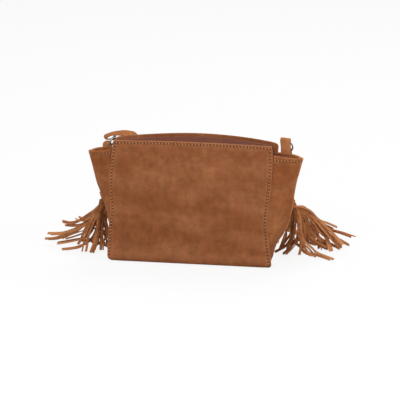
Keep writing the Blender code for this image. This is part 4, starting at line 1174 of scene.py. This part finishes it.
def thread_material():
    material, tree, shader = new_material("waxed thread")
    shader.inputs["Roughness"].default_value = 0.9
    shader.inputs["Specular IOR Level"].default_value = 0.1
    place = tree.nodes.new("ShaderNodeTexCoord")
    twist = tree.nodes.new("ShaderNodeTexNoise")
    twist.inputs["Scale"].default_value = 1500
    tint = colour_mix(tree, (0.43, 0.175, 0.076), (0.56, 0.26, 0.125))
    wire(tree, (place.outputs["Object"], twist.inputs["Vector"]), (twist.outputs["Fac"], tint.inputs[0]),
         (tint.outputs[2], shader.inputs["Base Color"]))
    return material


THREAD = thread_material()
# The needle holes: dark suede marks between the stitches, their colour painted shade in the holes' hollows
NEEDLE_HOLE_SHADE = suede("needle hole", (0.150, 0.053, 0.021), (0.120, 0.041, 0.016), (0.19, 0.070, 0.030), 0.02,
                    sheen=0)


def stitch_tree():
    """One thread's stitches at every other half pitch of the rows, at even ones or, with Between, at odd."""
    tree = bpy.data.node_groups.new("stitches along rows", "GeometryNodeTree")
    socket = tree.interface.new_socket
    socket("Rows", in_out="INPUT", socket_type="NodeSocketGeometry")
    for name, kind, value in (("Pitch", "NodeSocketFloat", STITCH_PITCH),
                              ("Length", "NodeSocketFloat", STITCH_LENGTH),
                              ("Thread radius", "NodeSocketFloat", THREAD_RADIUS),
                              ("Between", "NodeSocketFloat", 0.0), ("Seed", "NodeSocketInt", 3)):
        socket(name, in_out="INPUT", socket_type=kind).default_value = value
    socket("Thread", in_out="INPUT", socket_type="NodeSocketMaterial")
    socket("Stitches", in_out="OUTPUT", socket_type="NodeSocketGeometry")
    nodes = tree.nodes
    given, made = nodes.new("NodeGroupInput"), nodes.new("NodeGroupOutput")
    half_pitch, half = math_node(tree, "MULTIPLY", 0.5), math_node(tree, "MULTIPLY", 0.5)
    steps = nodes.new("GeometryNodeResampleCurve")
    steps.mode = "LENGTH"
    number = nodes.new("GeometryNodeInputIndex")
    every_other = math_node(tree, "MODULO", 2)
    chosen = math_node(tree, "COMPARE")
    chosen.inputs[2].default_value = 0.1
    ball = nodes.new("GeometryNodeMeshUVSphere")
    ball.inputs["Segments"].default_value = 8
    ball.inputs["Rings"].default_value = 6
    ball.inputs["Radius"].default_value = 1
    size = nodes.new("ShaderNodeCombineXYZ")
    drawn = nodes.new("GeometryNodeTransform")
    drawn.inputs["Rotation"].default_value = (0, STITCH_SLANT, 0)
    tangent = nodes.new("GeometryNodeInputTangent")
    aim = nodes.new("FunctionNodeAlignRotationToVector")
    aim.axis = "Z"
    uneven = nodes.new("FunctionNodeRandomValue")
    for limit, value in zip((2, 3), STITCH_SCALES):
        uneven.inputs[limit].default_value = value
    place = nodes.new("GeometryNodeInstanceOnPoints")
    real = nodes.new("GeometryNodeRealizeInstances")
    paint = nodes.new("GeometryNodeSetMaterial")
    smooth = nodes.new("GeometryNodeSetShadeSmooth")
    wire(tree, (given.outputs["Rows"], steps.inputs["Curve"]), (given.outputs["Pitch"], half_pitch.inputs[0]),
         (half_pitch.outputs[0], steps.inputs["Length"]), (number.outputs[0], every_other.inputs[0]),
         (every_other.outputs[0], chosen.inputs[0]), (given.outputs["Between"], chosen.inputs[1]),
         (chosen.outputs[0], place.inputs["Selection"]),
         (given.outputs["Length"], half.inputs[0]), (half.outputs[0], size.inputs["Z"]),
         (given.outputs["Thread radius"], size.inputs["X"]),
         (given.outputs["Thread radius"], size.inputs["Y"]),
         (ball.outputs["Mesh"], drawn.inputs["Geometry"]), (size.outputs[0], drawn.inputs["Scale"]),
         (tangent.outputs[0], aim.inputs["Vector"]), (steps.outputs[0], place.inputs["Points"]),
         (drawn.outputs[0], place.inputs["Instance"]), (aim.outputs[0], place.inputs["Rotation"]),
         (given.outputs["Seed"], uneven.inputs["Seed"]), (uneven.outputs[1], place.inputs["Scale"]),
         (place.outputs[0], real.inputs[0]), (real.outputs[0], smooth.inputs["Geometry"]),
         (smooth.outputs[0], paint.inputs["Geometry"]), (given.outputs["Thread"], paint.inputs["Material"]),
         (paint.outputs[0], made.inputs["Stitches"]))
    return tree


STITCHES = stitch_tree()


def sewn_marks(name, rows, length, radius, between, seed, material):
    """One mark at each stitch's step along the rows, as a plain mesh that rides the bag."""
    curve = bpy.data.curves.new(name, "CURVE")
    curve.dimensions = "3D"
    for row in rows:
        line = curve.splines.new("POLY")
        line.points.add(len(row) - 1)
        for spot, point in zip(line.points, row):
            spot.co = (*point, 1)
    source = bpy.data.objects.new(name + "_rows", curve)
    scene.collection.objects.link(source)
    sewing = source.modifiers.new("stitches", "NODES")
    sewing.node_group = STITCHES
    values = {"Length": length, "Thread radius": radius, "Between": between, "Seed": seed, "Thread": material}
    for item in STITCHES.interface.items_tree:
        if item.item_type == "SOCKET" and item.in_out == "INPUT" and item.name in values:
            sewing[item.identifier] = values[item.name]
    thing = made_plain(name, source)
    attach(thing, "bag")


def stitch_rows(name, rows, seed):
    """A row of stitches, with the needle holes that they sink into between them, marked dark in painted
    shade.
    """
    sewn_marks(name, rows, STITCH_LENGTH, THREAD_RADIUS, 0.0, seed, THREAD)
    sewn_marks(name + "_holes", rows, HOLE_LENGTH, HOLE_RADIUS, 1.0, seed, NEEDLE_HOLE_SHADE)


def panel_row(wall, line):
    """Points just outside a panel, for a line of (place along it, height)."""
    found = []
    outward = -1 if wall == BACK else 1
    for place, height in line:
        out, _, _ = panel_relief(wall, place, height)
        point = wall_point(wall, place, height, 0)
        found.append(point + Vector((0, outward * (out + STITCH_RISE), 0)))
    return found


for name, wall in (("back", BACK), ("front", FRONT)):
    edge = SEAM_IN / TOP_WIDTH
    near, far = [panel_top(wall, p) - SEAM_IN - BOTTOM_ROUND for p in (edge, 1 - edge)]
    line = [(edge, BOTTOM_ROUND + near * k / 60) for k in range(60)]
    line += [(p, panel_top(wall, p) - SEAM_IN) for p in [edge + (1 - 2 * edge) * k / 80 for k in range(81)]]
    line += [(1 - edge, BOTTOM_ROUND + far * k / 60) for k in range(59, -1, -1)]
    stitch_rows("topstitching_" + name, [panel_row(wall, line)], PANEL_SEEDS[wall])

for side, (walls, seed) in WINGS.items():
    row = []
    for place in [k / 42 for k in range(-40, 41)]:
        height = wing_top(place) - HEM_SEAM
        out = wing_relief(walls, place, height, seed)[0] + STITCH_RISE
        row.append(wing_point(walls, place, height, 0) + wing_outward(walls, place, height) * out)
    stitch_rows("hem_stitching_" + side, [row], seed)

rows = []
for wall, count in ((FRONT, 80), (RIGHT_FAR, 20), (LEFT_FAR, 20)):
    height = HEADER_TOP - HEADER_SEAM
    rows.append([header_point(wall, k / count, height, FRINGE_THICK) for k in range(1, count)])
stitch_rows("fringe_stitching", rows, 21)
